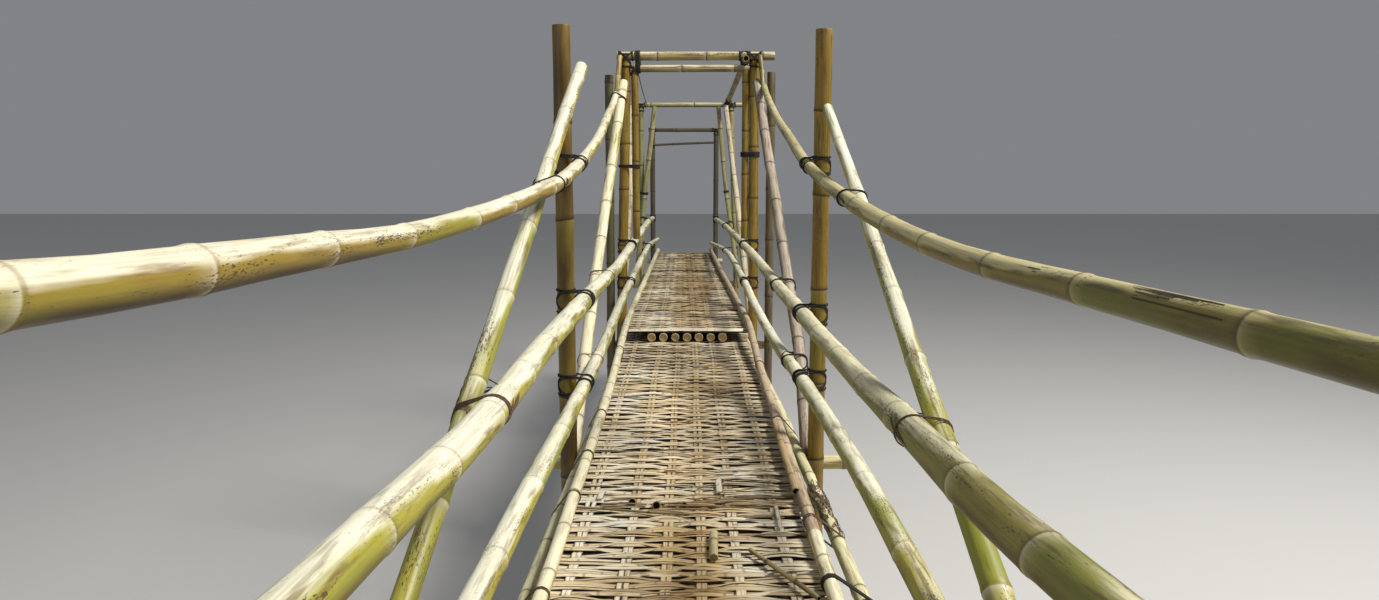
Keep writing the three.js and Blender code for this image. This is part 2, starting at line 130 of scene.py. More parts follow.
def culm(name, run, radius, pitch=0.45, seed=1, sides=20, joints=None, swell=0.075, bore=0.05,
         seat=None, tint=None):
    """One bamboo pole along a run of places. radius is a number or a function of a place, pitch the
    usual distance between joints, bore the depth of the open ends and seat the lowest level. The tint
    gives distances from mid-span and how much paler or darker the culm is there: the darkening is
    painted shade, partly the culm's own darker, greener tone."""
    rng = random.Random(seed)
    run = np.array(run, float)
    reach = lengths_along(run)
    length = reach[-1]
    if joints is None:
        joints = []
        at = rng.uniform(0.35, 0.85) * pitch
        while at < length - 0.04:
            joints.append(at)
            at += pitch * rng.uniform(0.82, 1.18)
    rows = culm_profile(joints, length, swell, bore)
    pole = sheet_of_faces(name, sides, len(rows) - 1)
    flat = corners_of(pole.data)
    around = (flat[:, 0] + 0.5) * FULL_TURN
    along, factor = rows[np.rint((flat[:, 1] + 0.5) * (len(rows) - 1)).astype(int)].T
    if callable(radius):
        size = np.interp(along, reach, np.array([radius(q) for q in run]))
    else:
        size = np.full(len(along), float(radius))

    marks = np.array(joints) if len(joints) else np.array([-9.0])
    which = np.argmin(np.abs(along[:, None] - marks[None, :]), axis=1)
    lean = np.array([rng.uniform(0.05, 0.16) for _ in marks])[which]
    phase = np.array([rng.uniform(0, 6.28) for _ in marks])[which]
    off = along - marks[which]
    slant = lean * size * np.cos(around - phase) * np.exp(-(off / 0.03) ** 2)
    place = on_run(np.clip(along + slant * (factor > 0.96), 0, length), reach, run)
    ahead = on_run(np.clip(along + 0.03, 0, length), reach, run)
    back = on_run(np.clip(along - 0.03, 0, length), reach, run)
    heading = unit(ahead - back)
    total = run[-1] - run[0]
    upright = abs(total[2]) > 0.75 * np.linalg.norm(total)
    across = unit(np.cross(heading, (0.0, 1.0, 0.0) if upright else (0.0, 0.0, 1.0)))
    third = np.cross(across, heading)
    stops = np.concatenate([[0], marks, [length]])
    for side in (across, third):
        kink = np.array([0] + [rng.uniform(-0.0016, 0.0016) for _ in marks] + [0])
        place = place + side * np.interp(along, stops, kink)[:, None]
    ripple = 1 + 0.012 * np.sin(2 * around + along * 3 + seed) + 0.008 * np.sin(3 * around - along * 5)
    out = (size * factor * ripple)[:, None]
    where = place + out * (np.cos(around)[:, None] * across + np.sin(around)[:, None] * third)
    if seat is not None:
        where[:, 2] = np.maximum(where[:, 2], seat)

    grain = np.stack([
        size * np.cos(around) + seed * 1.7, size * np.sin(around), along + seed * 3.1], axis=1)
    shades = np.array([rng.random() for _ in range(len(marks) + 1)])
    # the inside of the open ends, which the skin paints near black as shade
    inside = (factor < 0.79) * (bore > 0.015)
    # the tint below darkens parts of the culm: painted shade, partly the culm's own tone
    move_corners(
        pole.data, where, grain=grain,
        joint=np.minimum(np.abs(off), 0.3),
        below=(off < -0.001).astype(float),
        sawn=(factor < 0.96) * 0.5 + inside * 0.5,
        tint=np.zeros(len(along)) if tint is None else np.interp(np.abs(place[:, 1]), *tint),
        shade=shades[np.searchsorted(marks, along)])
    close_up(merge=0.00001)
    bpy.ops.object.shade_smooth_by_angle(angle=math.radians(50))
    return pole


def hand_over(piece, slot, finish, *nodes):
    """Finishes a piece and sets it in the place of its solids."""
    piece.data.materials.clear()
    piece.data.materials.append(finish)
    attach(piece, "root")
    if nodes:
        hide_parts(*nodes)


class Skin:
    """A finish whose colour, gloss and relief come from nodes."""

    def __init__(self, name):
        self.material = bpy.data.materials.new(name)
        self.material.use_nodes = True
        self.tree = self.material.node_tree

    def node(self, kind, inputs=(), output=0, **settings):
        """Adds a node. Each of its inputs is a plain value or another node's output."""
        made = self.tree.nodes.new("ShaderNode" + kind)
        for key, value in settings.items():
            setattr(made, key, value)
        for number, value in dict(inputs).items():
            if isinstance(value, bpy.types.NodeSocket):
                self.tree.links.new(value, made.inputs[number])
            else:
                made.inputs[number].default_value = value
        return made.outputs[output]

    def attribute(self, name, output=2):
        return self.node("Attribute", output=output, attribute_name=name)

    def grain(self):
        return self.attribute("grain", output=1)

    def maths(self, operation, *values):
        return self.node("Math", enumerate(values), operation=operation)

    def noise(self, source, size, detail):
        stretched = self.node("Mapping", {0: source, 3: size})
        return self.node("TexNoise", {0: stretched, 2: 1.0, 3: detail})

    def fitted(self, source, low, high, to_low=0.0, to_high=1.0):
        return self.node("MapRange", {0: source, 1: low, 2: high, 3: to_low, 4: to_high})

    def ramp(self, source, *stops):
        made = self.tree.nodes.new("ShaderNodeValToRGB")
        self.tree.links.new(source, made.inputs[0])
        while len(made.color_ramp.elements) < len(stops):
            made.color_ramp.elements.new(0.5)
        for element, (at, colour) in zip(made.color_ramp.elements, stops):
            element.position = at
            element.color = (*colour, 1) if isinstance(colour, tuple) else (colour, colour, colour, 1)
        return made.outputs[0]

    def over(self, colour, amount, cover, kind="MIX"):
        """Lays a colour over another by an amount."""
        first, second = ((*c, 1) if isinstance(c, tuple) else c for c in (colour, cover))
        return self.node("Mix", {0: amount, 6: first, 7: second}, 2, data_type="RGBA", blend_type=kind)

    def finished(self, colour, rough, relief, strength, depth):
        """Wires the surface: roughness is a number or an output, relief a height."""
        body = self.tree.nodes["Principled BSDF"]
        self.tree.links.new(colour, body.inputs["Base Color"])
        if isinstance(rough, float):
            body.inputs["Roughness"].default_value = rough
        else:
            self.tree.links.new(rough, body.inputs["Roughness"])
        bump = self.tree.nodes.new("ShaderNodeBump")
        bump.inputs[0].default_value = strength
        bump.inputs[1].default_value = depth
        self.tree.links.new(relief, bump.inputs["Height"])
        self.tree.links.new(bump.outputs[0], body.inputs["Normal"])
        return self.material


def bamboo(name, top, flank, shaded_under, green, scar, specks=0.9, gloss=0.42, bleach=0.0, band=0.9):
    """The skin of a culm: paler above, partly bleached and partly painted light, darker below with painted
    shade, streaked along the grain, ringed at the joints, spotted.
    """
    skin = Skin(name)
    grain = skin.grain()
    height = skin.node("SeparateXYZ", {0: skin.node("TexCoord", output=1)}, output=2)

    # how far each place faces the sky, unevenly, runs the colour from under to flank to top: the dark under
    # colour is painted shade, the pale top partly bleaching and partly painted light
    patches = skin.noise(grain, (11, 11, 2.6), 4.0)
    wander = skin.maths("MULTIPLY_ADD", patches, 1.5, bleach - 0.75)
    # the tint darkens or pales parts of the culm: painted shade, partly its own tone
    wander = skin.maths("ADD", wander, skin.attribute("tint"))
    level = skin.fitted(skin.maths("ADD", height, wander), -1.1, 1.1)
    colour = skin.ramp(level, (0.18, shaded_under), (0.45, flank), (0.61, flank), (0.79, top))

    # green left on some canes, and pale brown streaks along the grain
    moss = skin.maths("MULTIPLY", skin.noise(grain, (13, 13, 3.2), 2.0), skin.attribute("shade"))
    low = skin.ramp(level, (0.15, 0.8), (0.62, 1.0), (0.85, 0.2))
    moss = skin.maths("MULTIPLY", skin.ramp(moss, (0.24, 0.0), (0.42, 0.85)), low)
    colour = skin.over(colour, moss, green)
    streaks = skin.noise(grain, (150, 150, 2.2), 4.0)
    colour = skin.over(colour, skin.ramp(streaks, (0.48, 0.0), (0.76, 0.4)), scar)

    # a waxy bloom under each joint, and the scar that rings it
    close = skin.fitted(skin.attribute("joint"), 0.0, 0.06)
    bloom = skin.ramp(close, (0.06, 0.0), (0.13, 0.6), (0.4, 0.2), (1.0, 0.0))
    colour = skin.over(colour, skin.maths("MULTIPLY", bloom, skin.attribute("below")), top)
    ring = skin.ramp(close, (0.0, band), (0.06, band * 0.9), (0.12, band * 0.3), (0.4, 0.0))
    colour = skin.over(colour, ring, scar)

    # black mould spots in clouds, and smears of dirt
    spots = skin.noise(grain, (300, 300, 75), 2.0)
    clouds = skin.noise(grain, (20, 20, 3.5), 2.0)
    dots = skin.maths("MULTIPLY", skin.maths("ADD", spots, clouds), 0.5)
    dots = skin.ramp(dots, (0.585, 0.0), (0.61, specks))
    belt = skin.ramp(level, (0.2, 0.3), (0.55, 1.0), (0.72, 0.9), (0.90, 0.35))
    colour = skin.over(colour, skin.maths("MULTIPLY", dots, belt), (0.07, 0.045, 0.02))
    smears = skin.ramp(skin.noise(grain, (65, 65, 6), 5.0), (0.51, 0.0), (0.64, 0.75))
    belt = skin.ramp(level, (0.40, 0.3), (0.62, 1.0), (0.80, 0.8), (0.94, 0.3))
    colour = skin.over(colour, skin.maths("MULTIPLY", smears, belt), scar)

    # the sawn wall, and the hollow inside it painted near black: painted shade
    sawn = skin.attribute("sawn")
    colour = skin.over(colour, skin.ramp(sawn, (0.2, 0.0), (0.4, 1.0)), (0.50, 0.38, 0.20))
    colour = skin.over(colour, skin.ramp(sawn, (0.5, 0.0), (0.62, 1.0)), (0.02, 0.014, 0.008))
    rough = skin.fitted(patches, 0.0, 1.0, gloss - 0.1, gloss + 0.25)
    return skin.finished(colour, rough, skin.maths("ADD", streaks, spots), strength=0.4, depth=0.001)


post_bamboo = bamboo(
    "golden_post_bamboo", top=(0.44, 0.31, 0.08), flank=(0.25, 0.155, 0.015), shaded_under=(0.09, 0.05, 0.008),
    green=(0.21, 0.17, 0.015), scar=(0.03, 0.016, 0.006), specks=0.8, gloss=0.38)
# dark side posts: their own weathered colour, darkened by painted shade
shaded_side_bamboo = bamboo(
    "blackened_shaded_side_post_bamboo", top=(0.24, 0.19, 0.10), flank=(0.12, 0.09, 0.04),
    shaded_under=(0.05, 0.035, 0.02), green=(0.09, 0.09, 0.03), scar=(0.03, 0.02, 0.012), specks=0.7, gloss=0.55)
# very dark: weathering, and painted shade on the far posts and beam
dark_bamboo = bamboo(
    "weathered_shaded_dark_bamboo", top=(0.12, 0.10, 0.06), flank=(0.065, 0.05, 0.03), shaded_under=(0.03, 0.022, 0.014),
    green=(0.06, 0.06, 0.025), scar=(0.02, 0.015, 0.01), specks=0.5, gloss=0.6)
approach_bamboo = bamboo(
    "dull_olive_bamboo", top=(0.56, 0.51, 0.31), flank=(0.31, 0.27, 0.12), shaded_under=(0.11, 0.09, 0.04),
    green=(0.28, 0.28, 0.10), scar=(0.05, 0.035, 0.02), specks=0.8, gloss=0.5)

# name, row, distance to the right at the foot and at the head, top above the deck, radius
POSTS = (
    ("span_post_left", SPAN_ROW, -0.645, -0.645, 2.171, 0.046, post_bamboo, "post_bamboo"),
    ("span_post_right", SPAN_ROW, 0.672, 0.678, 2.151, 0.043, post_bamboo, "post_bamboo"),
    ("tower_post_left", TOWER_ROW, -0.640, -0.530, 2.2937, 0.041, post_bamboo, "post_bamboo"),
    ("tower_post_right", TOWER_ROW, 0.552, 0.540, 2.2937, 0.041, post_bamboo, "post_bamboo"),
    ("tower_side_post_left", TOWER_ROW + 0.006, -0.690, -0.672, 2.176, 0.035, shaded_side_bamboo, "post_bamboo"),
    ("tower_side_post_right", TOWER_ROW + 0.006, 0.684, 0.684, 2.200, 0.035, shaded_side_bamboo, "post_bamboo"),
    ("approach_post_left", APPROACH_ROW, -0.575, -0.563, 2.0567, 0.030, approach_bamboo, "dark_bamboo"),
    ("approach_post_right", APPROACH_ROW, 0.630, 0.488, 2.0567, 0.030, approach_bamboo, "dark_bamboo"),
    ("end_post_left", END_ROW, -0.529, -0.529, 1.8237, 0.035, dark_bamboo, "dark_bamboo"),
    ("end_post_right", END_ROW, 0.379, 0.379, 1.8237, 0.035, dark_bamboo, "dark_bamboo"),
)
# the left span post is made darker all over: painted shade
SHADE_DARKER = ((0, 9), (-0.55, -0.55))
runs = {}

for number, (name, row, foot, head, top, radius, finish, slot) in enumerate(POSTS):
    for end, way in ENDS:
        run = [(foot, way * row, 0.0), spot(head, row, top, way)]
        runs[name + "_" + end] = (np.array(run), radius)
        post = culm("post_" + name + "_" + end, run, radius, POST_PITCH, 11 + number * 2 + (way > 0),
                    seat=0.0, tint=SHADE_DARKER if name == "span_post_left" else None)
        hand_over(post, slot, finish, name + "_" + end)

# ---------------------------------------------------------------- cross beams
# A culm is lashed down across the heads of each pair of posts. The beam of the approach portal
# also carries two thin slanting struts, and a thinner pole hangs under the beam at each end.
beam_bamboo = bamboo(
    "pale_beam_bamboo", top=(0.78, 0.70, 0.48), flank=(0.42, 0.33, 0.15), shaded_under=(0.14, 0.10, 0.045),
    green=(0.40, 0.36, 0.12), scar=(0.08, 0.05, 0.02))
# name, row, left end, right end, level above the deck, radius
BEAMS = (
    ("tower_top_beam", TOWER_ROW, -0.604, 0.709, 2.330, 0.036, beam_bamboo, "post_bamboo"),
    ("approach_frame", APPROACH_ROW, -0.730, 0.655, 2.084, 0.027, approach_bamboo, "dark_bamboo"),
    ("end_beam", END_ROW, -0.580, 0.430, 1.851, 0.027, dark_bamboo, "dark_bamboo"),
)
# radius, then places as distance from mid-span, distance to the right, level above the deck
STRUTS = (
    ("left", 0.030,
     ((10.945, -0.405, 2.064), (10.887, -0.524, 1.040), (10.860, -0.581, 0.508), (10.830, -0.640, -0.060))),
    ("right", 0.025,
     ((10.945, 0.337, 2.064), (10.887, 0.430, 1.086), (10.865, 0.485, 0.698), (10.825, 0.590, -0.060))),
)


def routed(points, steps=14):
    """A smooth run through the given places, closest to them where they lie close."""
    p = [np.array(q, float) for q in points]
    p = [2 * p[0] - p[1]] + p + [2 * p[-1] - p[-2]]
    run = []
    for i in range(1, len(p) - 2):
        a, b, c, d = p[i - 1:i + 3]
        ta = 0.0
        tb = ta + np.linalg.norm(b - a) ** 0.5
        tc = tb + np.linalg.norm(c - b) ** 0.5
        td = tc + np.linalg.norm(d - c) ** 0.5
        for t in np.linspace(tb, tc, steps, endpoint=False):
            ab = a * (tb - t) / (tb - ta) + b * (t - ta) / (tb - ta)
            bc = b * (tc - t) / (tc - tb) + c * (t - tb) / (tc - tb)
            cd = c * (td - t) / (td - tc) + d * (t - tc) / (td - tc)
            abc = ab * (tc - t) / (tc - ta) + bc * (t - ta) / (tc - ta)
            bcd = bc * (td - t) / (td - tb) + cd * (t - tb) / (td - tb)
            run.append(abc * (tc - t) / (tc - tb) + bcd * (t - tb) / (tc - tb))
    run.append(p[-2])
    return np.array(run)


def half_run(places, way):
    """A smooth run on one half of the bridge."""
    return routed([spot(x, y, z, way) for y, x, z in places])


def lashed_together(name, parts):
    """Makes one piece of several poles."""
    clear_selection()
    for part in parts:
        part.select_set(True)
    bpy.context.view_layer.objects.active = parts[0]
    bpy.ops.object.join()
    parts[0].name = parts[0].data.name = name
    return parts[0]


for number, (name, row, left, right, level, radius, finish, slot) in enumerate(BEAMS):
    for end, way in ENDS:
        run = [spot(left, row, level, way), spot(right, row, level, way)]
        runs[name + "_" + end] = (np.array(run), radius)
        parts = [culm("beam", run, radius, 0.5, 41 + number * 2 + (way > 0))]
        if name == "approach_frame":
            for place, (side, thickness, points) in enumerate(STRUTS):
                strut = half_run(points, way)
                runs["strut_%s_%s" % (side, end)] = (strut, thickness)
                parts.append(culm("strut", strut, thickness, 0.42, 47 + place * 2 + (way > 0), 16))
        if name == "end_beam":
            y = END_ROW - 0.045
            second = [spot(-0.50, y, 1.64, way), spot(0.35, y, 1.675, way)]
            parts.append(culm("pole", second, 0.017, 0.4, 57 + (way > 0), 12))
        hand_over(lashed_together("beam_" + name + "_" + end, parts), slot, finish, name + "_" + end)

# ---------------------------------------------------------------- tower hangers and head ties
# Under each top beam a second, lower beam stands on two golden-brown splints, split culms whose
# ragged feet rest against the middle rails. A head tie runs on from it to the approach portal.
HANGER = 0.030
HEAD_TIE = 0.0275
for end, way in ENDS:
    beam_run = [spot(-0.470, TOWER_ROW, 2.228, way), spot(0.500, TOWER_ROW, 2.228, way)]
    left_run = [spot(-0.450, TOWER_ROW, 0.805, way), spot(-0.459, TOWER_ROW, 2.218, way)]
    right_run = [spot(0.468, TOWER_ROW, 0.810, way), spot(0.470, TOWER_ROW, 2.218, way)]
    tie_run = [spot(0.460, TOWER_ROW - 0.2, 2.293, way), spot(0.455, APPROACH_ROW + 0.15, 2.134, way)]
    for name, run in (("low_beam_", beam_run), ("hanger_left_", left_run), ("hanger_right_", right_run)):
        runs[name + end] = (np.array(run), HANGER)
    runs["head_tie_" + end] = (np.array(tie_run), HEAD_TIE)
    low_beam = culm("low_beam_" + end, beam_run, HANGER, 0.5, 61 + (way > 0))
    hand_over(low_beam, "post_bamboo", beam_bamboo, "tower_hanger_frame_" + end)
    splints = [culm("hanger", left_run, HANGER, 0.4, 63 + (way > 0)),
               culm("hanger", right_run, HANGER, 0.4, 65 + (way > 0))]
    splints = lashed_together("hangers_" + end, splints)
    hand_over(splints, "post_bamboo", post_bamboo, "tower_hanger_frame_" + end)
    tie = culm("head_pole_" + end, tie_run, HEAD_TIE, 0.4, 67 + (way > 0))
    hand_over(tie, "post_bamboo", post_bamboo, "head_tie_" + end)

# ---------------------------------------------------------------- deck frames
# Seven stringers run under the mats, with a thicker pole outside each edge. They lie on transoms,
# poles that cross behind each row of posts and stick out on both sides, and are lashed to them.
pale_bamboo = bamboo(
    "pale_deck_bamboo", top=(0.76, 0.66, 0.38), flank=(0.56, 0.42, 0.15), shaded_under=(0.26, 0.17, 0.05),
    green=(0.42, 0.40, 0.08), scar=(0.14, 0.08, 0.03), specks=0.8, bleach=0.1)
green_bamboo = bamboo(
    "yellow_green_deck_bamboo", top=(0.78, 0.74, 0.46), flank=(0.42, 0.38, 0.08), shaded_under=(0.15, 0.13, 0.02),
    green=(0.28, 0.30, 0.04), scar=(0.12, 0.07, 0.02), specks=0.8, gloss=0.4)
TRANSOM = -0.1298
TRANSOM_RADIUS = 0.0375
RAISED_TRANSOM = -0.0342
STRINGER = -0.0603
RAISED_STRINGER = 0.0353
EDGE_POLE = -0.0678
MIDDLE_FRAME_END = 7.9
# distance from mid-span, distance to the right
EDGE_POLES = {
    "left": ((0, -0.600), (2.7, -0.592), (SPAN_ROW, -0.570), (5.8, -0.556), (7.9, -0.550)),
    "right": ((0, 0.655), (2.63, 0.628), (SPAN_ROW, 0.590), (5.2, 0.568), (TOWER_ROW, 0.480), (7.9, 0.470)),
}


def both_ways(points):
    """A run from one end of the bridge to the other, from places (y, x, level) on one half."""
    far = [spot(x, y, z) for y, x, z in points]
    near = [(x, -y, z) for x, y, z in far if y > 0]
    return routed(near[::-1] + far)


def transom(y, left, right, level, seed):
    return culm("pole", [spot(left, y, level), spot(right, y, level)], TRANSOM_RADIUS, 0.38, seed, 16)


poles = [transom(0, -0.918, 0.83, TRANSOM, 71)]
for end, way in ENDS:
    poles.append(transom(way * 4.3338, -0.85, 0.888, TRANSOM, 73 + way))
    poles.append(transom(way * 7.6788, -0.745, 0.76, TRANSOM, 76 + way))
for i in range(7):
    x = -0.020 + 0.135 * (i - 3)
    run = [spot(x, -MIDDLE_FRAME_END, STRINGER), spot(x, MIDDLE_FRAME_END, STRINGER)]
    poles.append(culm("stringer", run, 0.035, 0.42, 80 + i, 8, bore=0.12))
hand_over(lashed_together("middle_deck_poles", poles), "pale_bamboo", pale_bamboo, "deck_frame_middle")
for side, places in EDGE_POLES.items():
    run = both_ways([(y, x, EDGE_POLE) for y, x in places])
    runs["edge_pole_" + side] = (run, 0.0275)
    edge = culm("edge_pole_" + side, run, 0.0295, 0.45, 90 + len(side), 20)
    hand_over(edge, "pale_bamboo", green_bamboo, "deck_frame_middle")
for end, way in ENDS:
    poles = [
        transom(way * 11.0178, -0.65, 0.60, RAISED_TRANSOM, 101 + way),
        transom(way * 13.5728, -0.62, 0.48, RAISED_TRANSOM, 104 + way),
    ]
    for i in range(7):
        run = [spot(-0.020 + 0.097 * (i - 3), 7.13, RAISED_STRINGER, way),
               spot(-0.065 + 0.110 * (i - 3), 13.64, RAISED_STRINGER, way)]
        thick = 0.0345 + 0.0012 * math.sin(i * 2.3)
        poles.append(culm("stringer", run, thick, 0.42, 110 + i + 7 * (way > 0), 12, bore=0.012))
    raised_frame = lashed_together("approach_deck_poles_" + end, poles)
    hand_over(raised_frame, "pale_bamboo", pale_bamboo, "deck_frame_" + end)

# ---------------------------------------------------------------- woven mats
# The deck is five mats of split bamboo. Pairs of splits run along the bridge in six columns, and
# bundles of two or three cross splits pass over and under them. A bed of near-black laths lies
# beneath: painted shade seen through the gaps.
COLUMNS = (0.094, 0.287, 0.433, 0.563, 0.698, 0.884)
SPLIT = 0.0018
BED_LATHS = 34


def split_bamboo(name, stops, dull, gold=0.0, edge_shade=0.85):
    """Split culm: a tone for each split, dull streaks, dark blots and dark edges, the edges painted shade
    between the splits. gold is how strong the trodden honey-coloured strip along the middle of the deck is."""
    skin = Skin(name)
    grain = skin.grain()
    place = skin.node("TexCoord", output=3)
    stain = skin.noise(place, (3.0, 1.3, 2), 4.0)
    tone = skin.maths("ADD", skin.attribute("tone"), skin.maths("MULTIPLY_ADD", stain, 0.9, -0.45))
    colour = skin.ramp(tone, *stops)

    # the honey strip, and beside it a grey strip that is partly painted shade
    aside = skin.node("SeparateXYZ", {0: place})
    outward = skin.maths("ABSOLUTE", skin.node("SeparateXYZ", {0: place}, output=1))
    strip = skin.fitted(skin.maths("ADD", aside, skin.maths("MULTIPLY_ADD", stain, 0.5, -0.25)), -0.5, 0.5)
    honey = skin.ramp(strip, (0.25, 0.0), (0.42, gold), (0.6, gold), (0.75, 0.0))
    near = skin.ramp(skin.fitted(outward, 0.0, 14.0), (0.21, 1.0), (0.25, 0.45), (0.5, 0.45), (0.55, 0.8))
    colour = skin.over(colour, skin.maths("MULTIPLY", honey, near), (1.0, 0.80, 0.50), "MULTIPLY")
    grey_and_shade = skin.ramp(strip, (0.6, 0.0), (0.85, gold * 0.6))
    colour = skin.over(colour, grey_and_shade, (0.74, 0.72, 0.70), "MULTIPLY")

    # streaks, blots, the joints of the culm it was split from, and its edges, darkened as painted shade
    streaks = skin.noise(grain, (5, 500, 500), 3.0)
    colour = skin.over(colour, skin.ramp(streaks, (0.44, 0.0), (0.72, 0.5)), dull)
    blots = skin.noise(grain, (16, 70, 70), 4.0)
    colour = skin.over(colour, skin.ramp(blots, (0.55, 0.0), (0.7, 0.6)), (0.07, 0.05, 0.03))
    joint = skin.maths("FRACT", skin.maths("MULTIPLY", skin.node("SeparateXYZ", {0: grain}), 2.3))
    colour = skin.over(colour, skin.ramp(joint, (0.47, 0.0), (0.485, 0.6), (0.495, 0.6), (0.51, 0.0)), dull)
    side = skin.maths("ABSOLUTE", skin.attribute("edge"))
    colour = skin.over(colour, skin.ramp(side, (0.60, 0.0), (1.0, edge_shade)), (0.08, 0.055, 0.03))
    rough = skin.fitted(blots, 0.0, 1.0, 0.45, 0.85)
    return skin.finished(colour, rough, streaks, strength=0.5, depth=0.0008)


weave_finish = split_bamboo("woven_split_bamboo", (
    (0.0, (0.14, 0.095, 0.05)), (0.25, (0.38, 0.27, 0.14)), (0.5, (0.68, 0.54, 0.32)),
    (0.72, (0.87, 0.76, 0.53)), (1.0, (0.95, 0.91, 0.77))), dull=(0.26, 0.16, 0.075), gold=0.85)
# near black: in the bed under the mats and in the rail cracks it is painted shade; it also colours the head
# string
dark_and_shade_finish = split_bamboo(
    "near_black_shade_lath_bamboo", ((0.0, (0.025, 0.019, 0.012)), (1.0, (0.07, 0.05, 0.03))), dull=(0.02, 0.015, 0.01))


def splits(name, count, cuts, width, thickness, course, roll, tone, length):
    """Flat splits, modelled as one strip, repeated, and then each bent to its own course."""
    strip = sheet_of_faces(name, cuts, 1)
    repeat = strip.modifiers.new("repeat", "ARRAY")
    repeat.use_relative_offset = False
    repeat.use_constant_offset = True
    repeat.constant_offset_displace = (0, 2, 0)
    repeat.count = count
    bpy.ops.object.modifier_apply(modifier="repeat")
    flat = corners_of(strip.data)
    which = np.rint(np.floor((flat[:, 1] + 1) / 2)).astype(int)
    edge = np.sign(flat[:, 1] - 2 * which)
    along = flat[:, 0] + 0.5
    where, across = course(which, along)
    half = width[which] / 2
    tilt = roll[which]
    where = where + (edge * half * np.cos(tilt))[:, None] * across
    where[:, 2] += edge * half * np.sin(tilt)
    grain = np.stack([along * length + which * 0.37, edge * half, which * 0.113], axis=1)
    move_corners(strip.data, where, grain=grain, tone=tone[which], edge=edge)
    wall = strip.modifiers.new("wall", "SOLIDIFY")
    wall.thickness = thickness
    wall.offset = 0
    bpy.ops.object.modifier_apply(modifier="wall")
    bpy.ops.object.shade_smooth_by_angle(angle=math.radians(40))
    return strip


def everywhere(direction, count):
    return np.tile(np.array(direction, float), (count, 1))


def smooth_step(part):
    return (1 - np.cos(np.pi * np.clip(part, 0, 1))) / 2


def eased(u, marks, levels):
    """Passes smoothly from level to level, one row of levels for each split."""
    place = np.clip(np.searchsorted(marks, u) - 1, 0, len(marks) - 2)
    part = smooth_step((u - marks[place]) / (marks[place + 1] - marks[place]))
    index = np.arange(len(u))
    return levels[index, place] * (1 - part) + levels[index, place + 1] * part


